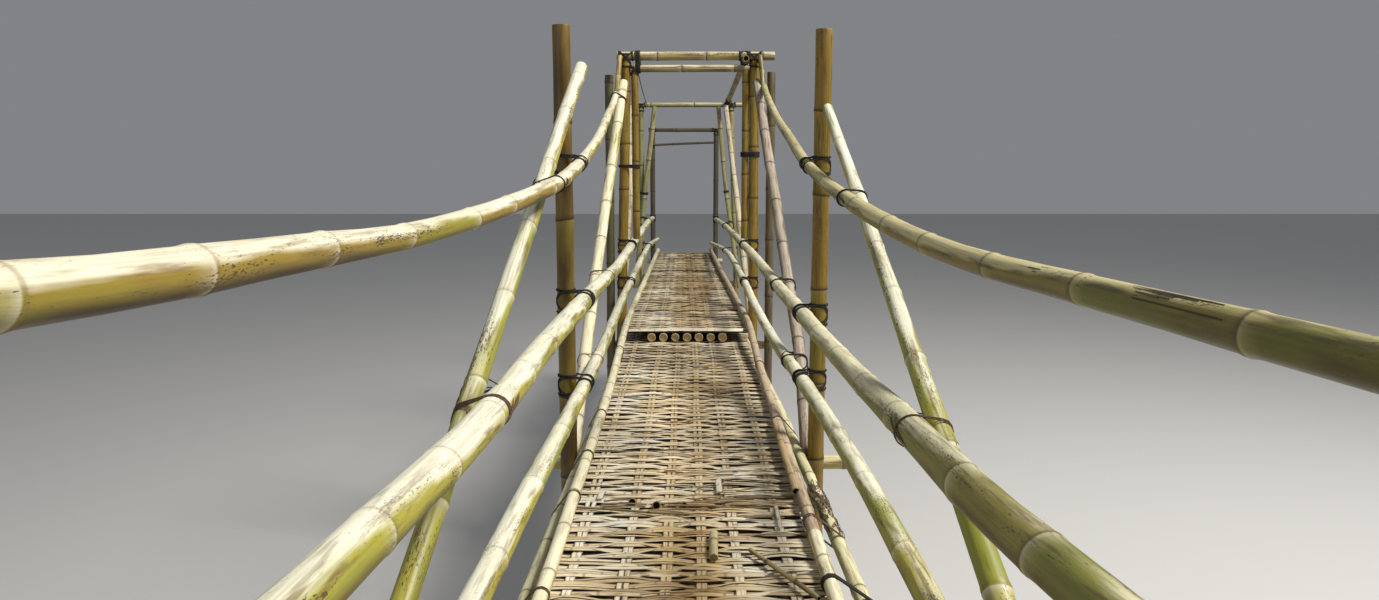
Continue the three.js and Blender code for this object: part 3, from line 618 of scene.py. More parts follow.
def woven_mat(name, node, start, finish, level, period, ends, seed, pinch, cuts):
    """One mat from start to finish along the bridge. ends gives its left and right edges at both,
    period is two bundles' width, pinch how far the columns draw a bundle together, and cuts the
    corners along each cross split. Mats with few cuts are the far ones, in less relief."""
    dice = np.random.default_rng(seed)
    columns = np.array(COLUMNS)
    half = period / 2
    bundles = int(round((finish - start) / half))
    near_mat = cuts > 20
    marks = np.concatenate([[-0.03], columns, [1.03]])

    def left(y):
        return np.interp(y, (start, finish), (ends[0], ends[2]))

    def right(y):
        return np.interp(y, (start, finish), (ends[1], ends[3]))

    bundle, swaps, heights, tones = [], [], [], []
    for b in range(bundles):
        slots = np.array((-0.24, 0.24) if dice.random() < 0.12 else (-0.34, 0.0, 0.34)) * half
        family = dice.normal(0.74, 0.11)
        orders = [dice.permutation(len(slots)) if dice.random() < 0.55 else np.arange(len(slots))
                  for _ in marks]
        for k in range(len(slots)):
            if dice.random() < 0.04:
                continue
            bundle.append(b)
            swaps.append([slots[order[k]] for order in orders])
            heights.append([0.0007 * order[k] * (1 if k % 2 else -1) for order in orders])
            tones.append(family + dice.normal(0, 0.15))
    bundle, swaps, heights = np.array(bundle), np.array(swaps), np.array(heights)
    count = len(bundle)
    swaps = swaps + dice.uniform(-0.0028, 0.0028, swaps.shape)
    begin = dice.uniform(-0.018, 0.012, count)
    stop = dice.uniform(0.985, 1.018, count)
    broken = dice.random(count) < 0.035
    stop = np.where(broken, dice.uniform(0.45, 0.9, count), stop)
    sign = np.where((bundle[:, None] + np.arange(6)[None, :]) % 2 == 0, 1.0, -1.0)
    sign = np.concatenate([np.zeros((count, 1)), sign, np.zeros((count, 1))], axis=1)

    def cross_course(which, along):
        u = begin[which] + (stop[which] - begin[which]) * along
        rise = eased(u, marks, sign[which])
        gather = 1 - pinch * np.clip(-rise, 0, 1) + (pinch - 0.1) * np.clip(rise, 0, 1)
        y = start + (bundle[which] + 0.5) * half + eased(u, marks, swaps[which]) * gather
        x = left(y) + u * (right(y) - left(y))
        z = DECK + level - 0.0095 + 0.0054 * rise + eased(u, marks, heights[which])
        return np.stack([x, y, z], axis=1), everywhere((0, 1, 0), len(x))

    wefts = splits(name, count, cuts, (dice.uniform(0.32, 0.44, count) + pinch * 0.13) * half, SPLIT,
                   cross_course, dice.uniform(-0.28, 0.28, count), np.clip(np.array(tones), 0.02, 1), 1.0)

    twin = np.repeat(np.arange(6), 2)
    aside = np.tile([-0.0109, 0.0109], 6)
    order = np.where((np.arange(bundles)[:, None] + np.arange(6)[None, :]) % 2 == 0, -1.0, 1.0)
    sway = dice.uniform(0, 6.28, 12)
    depth = 0.0064 if near_mat else 0.0022

    def long_course(which, along):
        y = start + along * (finish - start)
        at = (y - start) / half - 0.5
        low = np.clip(np.floor(at).astype(int), 0, bundles - 1)
        high = np.clip(low + 1, 0, bundles - 1)
        part = smooth_step(at - np.floor(at))
        column = twin[which]
        rise = order[low, column] * (1 - part) + order[high, column] * part
        x = left(y) + columns[column] * (right(y) - left(y)) + aside[which]
        x = x + 0.004 * np.sin(sway[which] + y * 3.1)
        z = DECK + level - 0.0087 + depth * rise
        return np.stack([x, y, z], axis=1), everywhere((1, 0, 0), len(x))

    steps = int((finish - start) / (half / (3 if cuts > 18 else 2)))
    warps = splits("warp", 12, steps, dice.uniform(0.0195, 0.0215, 12), SPLIT, long_course,
                   dice.uniform(-0.06, 0.06, 12),
                   np.clip(dice.normal(0.80 if near_mat else 0.5, 0.08, 12), 0, 1), finish - start)
    hand_over(lashed_together(name, [wefts, warps]), "woven_bamboo", weave_finish, node)

    def lath_course(which, along):
        y = start + 0.01 + along * (finish - start - 0.02)
        u = 0.012 + (which + 0.5) / BED_LATHS * 0.976
        x = left(y) + u * (right(y) - left(y))
        z = np.full(len(x), DECK + level - 0.0222)
        return np.stack([x, y, z], axis=1), everywhere((1, 0, 0), len(x))

    # near-black laths under the weave: painted shade seen through its gaps
    bed = splits(name + "_bed", BED_LATHS, 6, np.full(BED_LATHS, 0.0315), 0.003, lath_course,
                 np.full(BED_LATHS, 0.05), dice.uniform(0.1, 0.9, BED_LATHS), finish - start)
    hand_over(bed, "woven_bamboo", dark_and_shade_finish, node)


LEFT, RIGHT = -0.532, 0.492
END_LEFT, END_RIGHT = -0.465, 0.315
MAT_END = 3.36
RAISED = 0.0956
SQUARE = (LEFT, RIGHT, LEFT, RIGHT)
woven_mat("woven_middle", "mat_middle", -MAT_END, MAT_END, 0.0, 0.110, SQUARE, 201, 0.30, 24)
for end, way in ENDS:
    near_y, far_y = sorted((way * (MAT_END + 0.0003), way * 7.85))
    woven_mat("woven_tower_" + end, "mat_tower_" + end, near_y, far_y, 0.0, 0.108, SQUARE,
              205 + way, 0.14, 20)
    near_y, far_y = sorted((way * 7.15, way * 13.6))
    edges = (LEFT, RIGHT, END_LEFT, END_RIGHT) if way > 0 else (END_LEFT, END_RIGHT, LEFT, RIGHT)
    woven_mat("woven_approach_" + end, "mat_approach_" + end, near_y, far_y, RAISED, 0.110, edges,
              209 + way, 0.14, 16)

# ---------------------------------------------------------------- loose sticks, laths and husk
# A pale lath is tied along the edge of each raised mat, and a thin split between tower and approach
# beam. Offcuts of culm and split bamboo lie in the weave, most of them where the middle mat meets
# the next one, and a tuft of brown husk is left on the right outer pole.
lath_finish = split_bamboo(
    "pale_lath_bamboo", ((0.0, (0.66, 0.57, 0.38)), (1.0, (0.90, 0.86, 0.70))),
    dull=(0.50, 0.38, 0.22), edge_shade=0.2)
stick_bamboo = bamboo(
    "stick_bamboo", top=(0.46, 0.34, 0.18), flank=(0.28, 0.19, 0.08), shaded_under=(0.12, 0.08, 0.03),
    green=(0.22, 0.20, 0.06), scar=(0.06, 0.04, 0.02), gloss=0.55)
# both ends, radius, distance between joints, seed, sides, depth of the open ends
STICKS = (
    ((-0.253, 3.315, 0.013), (-0.248, 3.44, -0.036), 0.0175, 0.25, 131, 14, 0.03),
    ((-0.145, 3.270, 0.013), (-0.140, 3.42, -0.036), 0.0195, 0.25, 132, 14, 0.03),
    ((-0.022, 3.300, 0.008), (-0.020, 3.41, -0.030), 0.0110, 0.25, 133, 12, 0.02),
    ((0.235, 2.78, 0.014), (0.445, 2.33, 0.024), 0.0095, 0.2, 135, 10, 0.02),
    ((-0.50, 3.27, 0.006), (0.0, 3.175, 0.008), 0.0055, 0.2, 136, 10, 0.02),
)


def laid(name, start, finish, width, tone, roll=0.0, sag=0.004):
    """A single flat split laid from place to place."""
    a, b = np.array(start, float), np.array(finish, float)
    side = unit(np.cross(b - a, (0.0, 0.0, 1.0)))

    def course(which, along):
        spots = a + (b - a) * along[:, None]
        spots[:, 2] += sag * np.sin(np.pi * along)
        return spots, everywhere(side, len(along))

    return splits(name, 1, 14, np.array([width]), 0.003, course, np.array([roll]), np.array([tone]),
                  np.linalg.norm(b - a))


def scattered(count, dice, way, x, y, reach, lift, drift, far_lift, width, tone, roll, most_right=9.0):
    """Offcuts thrown on the deck. Each value is a range to draw from, or a number."""
    thrown = []
    for _ in range(count):
        x0, y0, run, z0, aside, z1, wide, shade, turned = (
            dice.uniform(*v) if isinstance(v, tuple) else v
            for v in (x, y, reach, lift, drift, far_lift, width, tone, roll))
        x1 = min(x0 + run, most_right)
        thrown.append(laid("offcut", spot(x0, y0, z0, way), spot(x1, y0 + aside, z1, way),
                           wide, shade, turned))
    return thrown


for end, way in ENDS:
    step_laths = [
        laid("lath", spot(-0.50, 7.143, 0.0955, way), spot(0.44, 7.139, 0.0975, way),
             width=0.026, tone=0.9, roll=-0.95 * way),
        laid("lath", spot(-0.40, 7.185, 0.0985, way), spot(0.47, 7.175, 0.100, way),
             width=0.019, tone=0.3, roll=-0.2),
    ]
    hand_over(lashed_together("step_laths_" + end, step_laths), "woven_bamboo", lath_finish)
    sticks = [
        culm("stick", [spot(*start, way), spot(*stop, way)], thick, pitch, seed, sides, bore=bore)
        for start, stop, thick, pitch, seed, sides, bore in STICKS
    ]
    hand_over(lashed_together("loose_sticks_" + end, sticks), "pale_bamboo", stick_bamboo)
    stub = [spot(0.098, 2.94, 0.016, way), spot(0.092, 2.71, 0.010, way)]
    hand_over(culm("stub_" + end, stub, 0.0175, 0.15, 134, 14, bore=0.012), "pale_bamboo", pale_bamboo)
    head_string = laid("head_string_" + end, spot(-0.428, TOWER_ROW, 2.188, way),
                       spot(-0.484, APPROACH_ROW, 2.060, way), 0.008, 0.6, sag=-0.03)
    hand_over(head_string, "woven_bamboo", dark_and_shade_finish)

    dice = np.random.default_rng(140 + way)
    offcuts = scattered(12, dice, way, (-0.48, 0.20), (MAT_END - 0.075, MAT_END + 0.03), (0.12, 0.42),
                        (-0.002, 0.008), (-0.03, 0.03), (-0.002, 0.008),
                        (0.010, 0.018), (0.0, 0.45), (-0.5, 0.5), most_right=0.47)
    for x, y, far_x, far_y, width in ((0.375, 3.02, 0.378, 3.28, 0.017), (0.138, 3.46, 0.136, 3.64, 0.031),
                                      (-0.400, 3.37, -0.396, 3.46, 0.031)):
        offcuts.append(laid("offcut", spot(x, y, 0.008, way), spot(far_x, far_y, 0.007, way),
                            width, 0.97, 0.2))
    offcuts += scattered(16, dice, way, (0.10, 0.24), (3.40, 3.98), (0.16, 0.26), 0.003, (-0.07, 0.03),
                         (0.004, 0.012), (0.009, 0.015), (0.75, 1.0), (-0.4, 0.4))
    offcuts += scattered(22, dice, way, (-0.45, 0.30), (0.3, 7.0), (0.08, 0.3), 0.001, (-0.05, 0.05),
                         0.004, (0.008, 0.015), (0.1, 0.9), (-0.3, 0.3))
    hand_over(lashed_together("offcuts_" + end, offcuts), "woven_bamboo", weave_finish)

husk_finish = split_bamboo(
    "brown_husk_fibre", ((0.0, (0.05, 0.032, 0.02)), (1.0, (0.26, 0.17, 0.11))), dull=(0.03, 0.02, 0.012))
STRANDS = 110
for end, way in ENDS:
    dice = np.random.default_rng(160 + way)
    begin, reach, turn, twist, lift = (
        dice.uniform(low, high, STRANDS)
        for low, high in ((3.04, 3.68), (0.04, 0.16), (0.1, 3.0), (-1.3, 1.3), (0.001, 0.007)))

    def husk_course(which, along, way=way, begin=begin, reach=reach, turn=turn, twist=twist, lift=lift):
        y = begin[which] + along * reach[which]
        middle = np.interp(y, *zip(*EDGE_POLES["right"]))
        angle = turn[which] + twist[which] * along
        out = 0.0285 + lift[which] * (0.6 + np.sin(np.pi * along))
        z = DECK + EDGE_POLE + out * np.sin(angle)
        spots = np.stack([middle + out * np.cos(angle), way * y, z], axis=1)
        return spots, np.stack([-np.sin(angle), np.zeros(len(y)), np.cos(angle)], axis=1)

    husk = splits("husk_" + end, STRANDS, 8, dice.uniform(0.002, 0.006, STRANDS), 0.0012, husk_course,
                  np.zeros(STRANDS), dice.uniform(0, 1, STRANDS), 0.1)
    hand_over(husk, "fibre_rope", husk_finish)

# ---------------------------------------------------------------- kerb poles
# A long pole on each edge of the mats climbs with them onto the approaches. It holds the cross
# splits down and is tied to the deck pole outside it. The right one is made of several culms, the
# older ones pinkish brown, with a half culm over each splice.
KERB = 0.0275
ON_MAT = KERB + 0.0003
ON_RAISED_MAT = RAISED + ON_MAT
ivory_bamboo = bamboo(
    "ivory_kerb_bamboo", top=(0.86, 0.81, 0.58), flank=(0.62, 0.53, 0.22), shaded_under=(0.30, 0.23, 0.06),
    green=(0.46, 0.45, 0.09), scar=(0.20, 0.12, 0.05), bleach=0.2)
rosy_bamboo = bamboo(
    "brownish_old_kerb_bamboo", top=(0.54, 0.43, 0.30), flank=(0.33, 0.24, 0.14), shaded_under=(0.14, 0.09, 0.05),
    green=(0.44, 0.38, 0.17), scar=(0.10, 0.06, 0.03), gloss=0.6, bleach=0.1)
for side, edge, end_edge in (("left", LEFT + 0.005, -0.460), ("right", RIGHT - 0.005, 0.310)):
    run = both_ways((
        (0, edge + 0.013, ON_MAT), (SPAN_ROW, edge + 0.013, ON_MAT), (5.7, edge + 0.009, ON_MAT + 0.010),
        (7.09, edge + 0.003, ON_RAISED_MAT + 0.004), (7.65, edge, ON_RAISED_MAT + 0.001),
        (APPROACH_ROW, edge + 0.59 * (end_edge - edge), ON_RAISED_MAT), (13.64, end_edge, ON_RAISED_MAT)))
    runs["kerb_" + side] = (run, KERB)
    if side == "left":
        whole = culm("kerb_left", run, KERB, 0.43, 234, 20)
        hand_over(whole, "pale_bamboo", ivory_bamboo, "kerb_pole_left")
        continue
    # the middle culm of the right kerb is darker all along: painted shade, partly its own tone
    middle = culm("kerb_right_middle", run[np.abs(run[:, 1]) < 2.93], KERB, 0.43, 235, 20, bore=0.02,
                  tint=((0, 3), (-0.35, -0.35)))
    hand_over(middle, "pale_bamboo", ivory_bamboo, "kerb_pole_right")
    for end, way in ENDS:
        old = run[way * run[:, 1] > 2.86][::way]
        # the old culms darker toward the splice: painted shade, partly their own tone
        outer = culm("kerb_right_" + end, old, 0.0272, 0.40, 236 + way, 20, bore=0.02,
                     tint=((2.8, 3.5, 4.4), (-0.45, -0.4, 0.0)))
        hand_over(outer, "pale_bamboo", rosy_bamboo, "kerb_pole_right")
        cover = half_run(((3.36, 0.474, 0.045), (3.9, 0.474, 0.044), (4.55, 0.478, 0.040)), way)
        splice = culm("splice_" + end, cover, 0.0175, 0.5, 238 + way, 12, bore=0.02)
        hand_over(splice, "grey_bamboo", stick_bamboo)

# ---------------------------------------------------------------- handrails
# Three culms hang on each side from tower to tower, green under and bleached above; the dark under
# side is painted shade and the pale top partly painted light. A thin culm climbs from each end of the top
# ones, and the right top one is cracked along its top, each crack a near-black strip of painted shade.
rail_bamboo = bamboo(
    "bleached_rail_bamboo", top=(0.86, 0.82, 0.62), flank=(0.33, 0.235, 0.035), shaded_under=(0.07, 0.04, 0.01),
    green=(0.30, 0.28, 0.025), scar=(0.22, 0.13, 0.045), specks=1.0, gloss=0.38, bleach=0.10, band=0.4)
hanging_bamboo = bamboo(
    "hanging_rail_bamboo", top=(0.86, 0.84, 0.66), flank=(0.42, 0.38, 0.05), shaded_under=(0.10, 0.09, 0.012),
    green=(0.25, 0.28, 0.04), scar=(0.16, 0.10, 0.03), specks=1.0, gloss=0.38, band=0.42)
# the right rails' skins: their own olive and moss tones, made darker by painted shade
olive_shaded_bamboo = bamboo(
    "olive_shaded_rail_bamboo", top=(0.56, 0.50, 0.26), flank=(0.20, 0.16, 0.025), shaded_under=(0.06, 0.04, 0.006),
    green=(0.13, 0.15, 0.02), scar=(0.07, 0.045, 0.02), specks=1.0, gloss=0.4, band=0.7)
mossy_shaded_bamboo = bamboo(
    "mossy_shaded_rail_bamboo", top=(0.76, 0.72, 0.49), flank=(0.28, 0.25, 0.055), shaded_under=(0.075, 0.06, 0.012),
    green=(0.17, 0.19, 0.035), scar=(0.11, 0.07, 0.03), specks=1.0, gloss=0.4, band=0.55)
RAIL_FINISHES = {
    "top_rail_left": rail_bamboo, "top_rail_right": olive_shaded_bamboo, "mid_rail_right": mossy_shaded_bamboo}
# distances from mid-span, and how much paler or darker the rail is there: the darkening is painted shade,
# partly the rail's own greener tone
SHADE_DIRT_TINTS = {
    "top_rail_right": ((0.0, 0.6, 1.4, 2.4), (-0.75, -0.55, 0.0, 0.3)),
    "mid_rail_right": ((0.0, 1.2, 1.9, 2.6), (-0.6, -0.45, -0.05, 0.25)),
    "mid_rail_left": ((0.0, 0.8, 1.6), (-0.3, -0.1, 0.1)),
    "low_rail_right": ((0.0, 1.6, 3.4), (-0.7, -0.5, 0.0)),
    "low_rail_left": ((0.0, 2.0), (-0.1, -0.05)),
}
# distances of the first joints from mid-span
NODES = {
    "top_rail_left": (0.18, 0.60, 1.10, 1.55, 2.02, 2.36, 2.85, 3.35),
    "top_rail_right": (0.10, 0.62, 1.27, 1.78, 2.30, 2.75, 3.2),
    "mid_rail_left": (0.25, 0.73, 1.20, 1.72, 2.3, 2.85, 3.4),
    "mid_rail_right": (0.45, 0.92, 1.33, 1.92, 2.4, 3.0, 3.6),
    "low_rail_left": (0.55, 1.2, 1.9, 2.57, 3.3, 3.9),
    "low_rail_right": (0.6, 1.2, 1.8, 2.45, 3.05, 3.6),
}
# places (distance from mid-span, distance to the right, level above the deck), then radii
RAILS = {
    "top_rail_left": (
        ((0, -0.774, 1.388), (0.42, -0.759, 1.369), (1.014, -0.743, 1.347), (1.594, -0.698, 1.334),
         (2.249, -0.607, 1.360), (2.909, -0.520, 1.412), (3.388, -0.533, 1.431), (3.794, -0.545, 1.455),
         (4.25, -0.563, 1.480), (5.0, -0.548, 1.596), (5.9, -0.568, 1.739), (6.8, -0.584, 1.890),
         (7.45, -0.603, 2.013)),
        ((0, 0.039), (0.56, 0.0395), (1.014, 0.0375), (1.51, 0.0325), (2.74, 0.031), (4.25, 0.0315),
         (7.6, 0.027))),
    "top_rail_right": (
        ((0, 0.882, 1.276), (0.6, 0.881, 1.262), (1.3, 0.868, 1.238), (2.0, 0.797, 1.237),
         (2.8, 0.727, 1.279), (3.6, 0.645, 1.377), (4.25, 0.605, 1.472), (5.0, 0.590, 1.615),
         (5.9, 0.585, 1.772), (6.8, 0.593, 1.947), (7.45, 0.612, 2.076)),
        ((0, 0.036), (1.2, 0.0365), (3.0, 0.0355), (3.6, 0.031), (4.25, 0.029), (5.5, 0.026),
         (7.6, 0.024))),
    "mid_rail_left": (
        ((0, -0.552, 0.925), (0.6, -0.548, 0.899), (1.6, -0.545, 0.833), (2.8, -0.554, 0.808),
         (4.25, -0.550, 0.773), (5.4, -0.549, 0.729), (6.5, -0.534, 0.700), (7.6, -0.497, 0.748),
         (9.3, -0.478, 0.757), (10.95, -0.485, 0.725), (13.445, -0.529, 0.597)),
        ((0, 0.0465), (4.25, 0.046), (7.6, 0.038), (13.5, 0.030))),
    "mid_rail_right": (
        ((0, 0.775, 0.780), (0.75, 0.700, 0.774), (1.2, 0.651, 0.772), (1.8, 0.612, 0.778),
         (2.8, 0.600, 0.738), (4.25, 0.590, 0.702), (5.4, 0.560, 0.700), (6.5, 0.512, 0.737),
         (7.6, 0.464, 0.754), (9.3, 0.450, 0.710), (10.95, 0.420, 0.674), (13.445, 0.378, 0.585)),
        ((0, 0.052), (1.3, 0.051), (1.9, 0.046), (2.5, 0.041), (4.25, 0.041), (7.6, 0.032),
         (13.5, 0.026))),
    "low_rail_left": (
        ((0, -0.584, 0.345), (2.0, -0.578, 0.344), (4.25, -0.552, 0.325), (5.3, -0.548, 0.326),
         (6.4, -0.540, 0.362), (7.6, -0.508, 0.431), (9.3, -0.482, 0.470), (10.95, -0.486, 0.430),
         (13.7, -0.468, 0.272)),
        ((0, 0.042), (2.2, 0.042), (4.25, 0.0375), (5.5, 0.035), (13.5, 0.028))),
    "low_rail_right": (
        ((0, 0.616, 0.412), (1.4, 0.613, 0.410), (2.7, 0.612, 0.395), (4.25, 0.592, 0.352),
         (5.3, 0.553, 0.335), (6.4, 0.508, 0.375), (7.6, 0.472, 0.433), (9.3, 0.444, 0.445),
         (10.95, 0.425, 0.378), (13.7, 0.314, 0.220)),
        ((0, 0.034), (2.0, 0.037), (4.25, 0.038), (5.7, 0.033), (13.5, 0.026))),
}
RAIL_PITCH = 0.5


def node_places(run, ahead, dice):
    """Distances along a run of joints at the given distances from mid-span, and on from there."""
    at = list(ahead)
    while at[-1] < run[-1][1] - 0.5:
        at.append(at[-1] + RAIL_PITCH * dice.uniform(0.85, 1.15))
    at = [a for a in at if a < run[-1][1] - 0.08]
    return [float(np.interp(y, run[:, 1], lengths_along(run))) for y in [-a for a in at[::-1]] + at]


def thick_at(distances, radii):
    """A culm's radius at any place, from radii at distances from mid-span."""
    return lambda place: float(np.interp(abs(place[1]), distances, radii))


for number, (name, (places, widths)) in enumerate(RAILS.items()):
    run = both_ways(places)
    thick = thick_at(*zip(*widths))
    runs[name] = (run, thick)
    marks = node_places(run, NODES[name], random.Random(330 + number))
    is_top = name.startswith("top")
    parts = [culm("rail", run, thick, RAIL_PITCH, 301 + number, 28, marks, 0.07 if is_top else 0.05,
                  tint=SHADE_DIRT_TINTS.get(name))]
    if is_top:
        y, x, level = places[-1]
        inward = -1 if x > 0 else 1
        for end, way in ENDS:
            tip = [spot(x + inward * 0.004, y - 0.040, level - 0.040, way),
                   spot(x + inward * 0.028, TOWER_ROW - 0.057, 2.325, way)]
            parts.append(culm("tip", tip, 0.021, 0.3, 311 + number + way, 16))
    rail = lashed_together(name + "_culm", parts)
    hand_over(rail, "rail_bamboo", RAIL_FINISHES.get(name, hanging_bamboo), name)

CRACKS = 13
for end, way in ENDS:
    dice = np.random.default_rng(340 + way)
    begin, reach, turn = (
        dice.uniform(low, high, CRACKS) for low, high in ((0.64, 1.0), (0.25, 0.72), (0.45, 1.35)))

    def crack_course(which, along, way=way, begin=begin, reach=reach, turn=turn):
        run, thick = runs["top_rail_right"]
        middle = on_run(way * np.clip(begin[which] + along * reach[which], 0.64, 1.75), run[:, 1], run)
        out = np.array([thick(q) for q in middle]) * 0.992
        angle = turn[which] + 0.02 * np.sin(along * 9 + which)
        spots = middle + np.stack([out * -np.cos(angle), np.zeros(len(along)), out * np.sin(angle)], axis=1)
        return spots, np.stack([np.sin(angle), np.zeros(len(along)), np.cos(angle)], axis=1)

    # each crack is a thin near-black strip on the rail: painted shade in the crack
    cracks = splits("rail_cracks_" + end, CRACKS, 12, dice.uniform(0.0008, 0.0024, CRACKS), 0.0012,
                    crack_course, np.zeros(CRACKS), dice.uniform(0, 1, CRACKS), 0.5)
    hand_over(cracks, "rail_bamboo", dark_and_shade_finish)

# ---------------------------------------------------------------- braces
# Slanting culms stand outside the rails: from the span posts to mid-span, from the tower posts to
# the span posts, and from the approach beam to the towers. Each is tied to the rails it passes.
grey_bamboo = bamboo(
    "grey_brown_brace_bamboo", top=(0.43, 0.36, 0.28), flank=(0.23, 0.17, 0.115), shaded_under=(0.09, 0.06, 0.04),
    green=(0.27, 0.22, 0.14), scar=(0.03, 0.018, 0.01), gloss=0.5)
old_bamboo = bamboo(
    "weathered_pale_bamboo", top=(0.60, 0.53, 0.37), flank=(0.36, 0.29, 0.15), shaded_under=(0.13, 0.09, 0.05),
    green=(0.32, 0.30, 0.10), scar=(0.07, 0.045, 0.02), gloss=0.5)
# the span braces darker toward mid-span: painted shade, partly their own green tone
SHADED = ((0.0, 1.2, 2.6, 4.2), (-1.0, -0.7, -0.05, 0.1))
FOOT_LEVEL = DECK + TRANSOM + 0.0385
# name, radius at the foot and at the head, places as for the rails
BRACES = (
    ("span_brace_left", 0.031, 0.0325, hanging_bamboo, "rail_bamboo",
     ((0.022, -0.691, -0.0535), (1.856, -0.627, 0.833), (3.096, -0.581, 1.433), (4.180, -0.541, 1.957))),
    ("span_brace_right", 0.037, 0.026, hanging_bamboo, "rail_bamboo",
     ((0.022, 0.745, -0.0535), (1.765, 0.692, 0.778), (3.375, 0.726, 1.346), (4.180, 0.692, 1.758))),
    ("tower_brace_left", 0.037, 0.039, ivory_bamboo, "pale_bamboo",
     ((4.334, -0.628, -0.048), (4.870, -0.621, 0.325), (5.695, -0.627, 0.719), (7.528, -0.547, 2.106))),
    ("tower_brace_right", 0.035, 0.038, grey_bamboo, "pale_bamboo",
     ((4.334, 0.634, -0.048), (4.775, 0.645, 0.341), (5.405, 0.635, 0.700), (7.530, 0.559, 2.114))),
    ("approach_brace_left", 0.030, 0.029, old_bamboo, "grey_bamboo",
     ((7.672, -0.606, -0.058), (9.100, -0.605, 0.879), (10.908, -0.690, 2.060))),
    ("approach_brace_right", 0.031, 0.029, old_bamboo, "grey_bamboo",
     ((7.672, 0.553, -0.058), (9.100, 0.497, 0.879), (10.908, 0.424, 2.060))),
)
for number, (name, foot, head, finish, slot, places) in enumerate(BRACES):
    for end, way in ENDS:
        run = half_run(places, way)
        thick = thick_at((places[0][0], places[-1][0]), (foot, head))
        runs[name + "_" + end] = (run, thick)
        run = np.concatenate([[run[0] + unit(run[0] - run[1]) * 0.06], run])
        brace = culm("brace_" + name + "_" + end, run, thick, 0.47, 401 + number * 2 + (way > 0), 24,
                     seat=FOOT_LEVEL, tint=SHADED if name.startswith("span") else None)
        hand_over(brace, slot, finish, name + "_" + end)

# ---------------------------------------------------------------- lashings
# Black palm-fibre rope, wound several times round each pair of culms where they cross and pulled
# tight. Thin brown wire and twine hold the kerbs and mend the older ties.
def fibre(name, colour, other, rough):
    skin = Skin(name)
    uv = skin.node("UVMap", uv_map="UVMap")
    lay = skin.noise(uv, (90, 9, 1), 3.0)
    slanted = skin.node("Mapping", {0: uv, 2: (0, 0, 0.5), 3: (40, 3, 1)})
    twist = skin.node("TexWave", {0: slanted, 1: 1.0, 2: 2.0})
    colour = skin.over(colour, skin.ramp(lay, (0.4, 0.0), (0.7, 1.0)), other)
    return skin.finished(colour, rough, skin.maths("ADD", lay, twist), strength=0.8, depth=0.002)


FIBRES = {
    "ropes": fibre("black_palm_rope", (0.012, 0.010, 0.008), (0.040, 0.031, 0.022), 0.85),
    "twine": fibre("brown_wire_and_twine", (0.20, 0.115, 0.07), (0.05, 0.03, 0.02), 0.6),
}
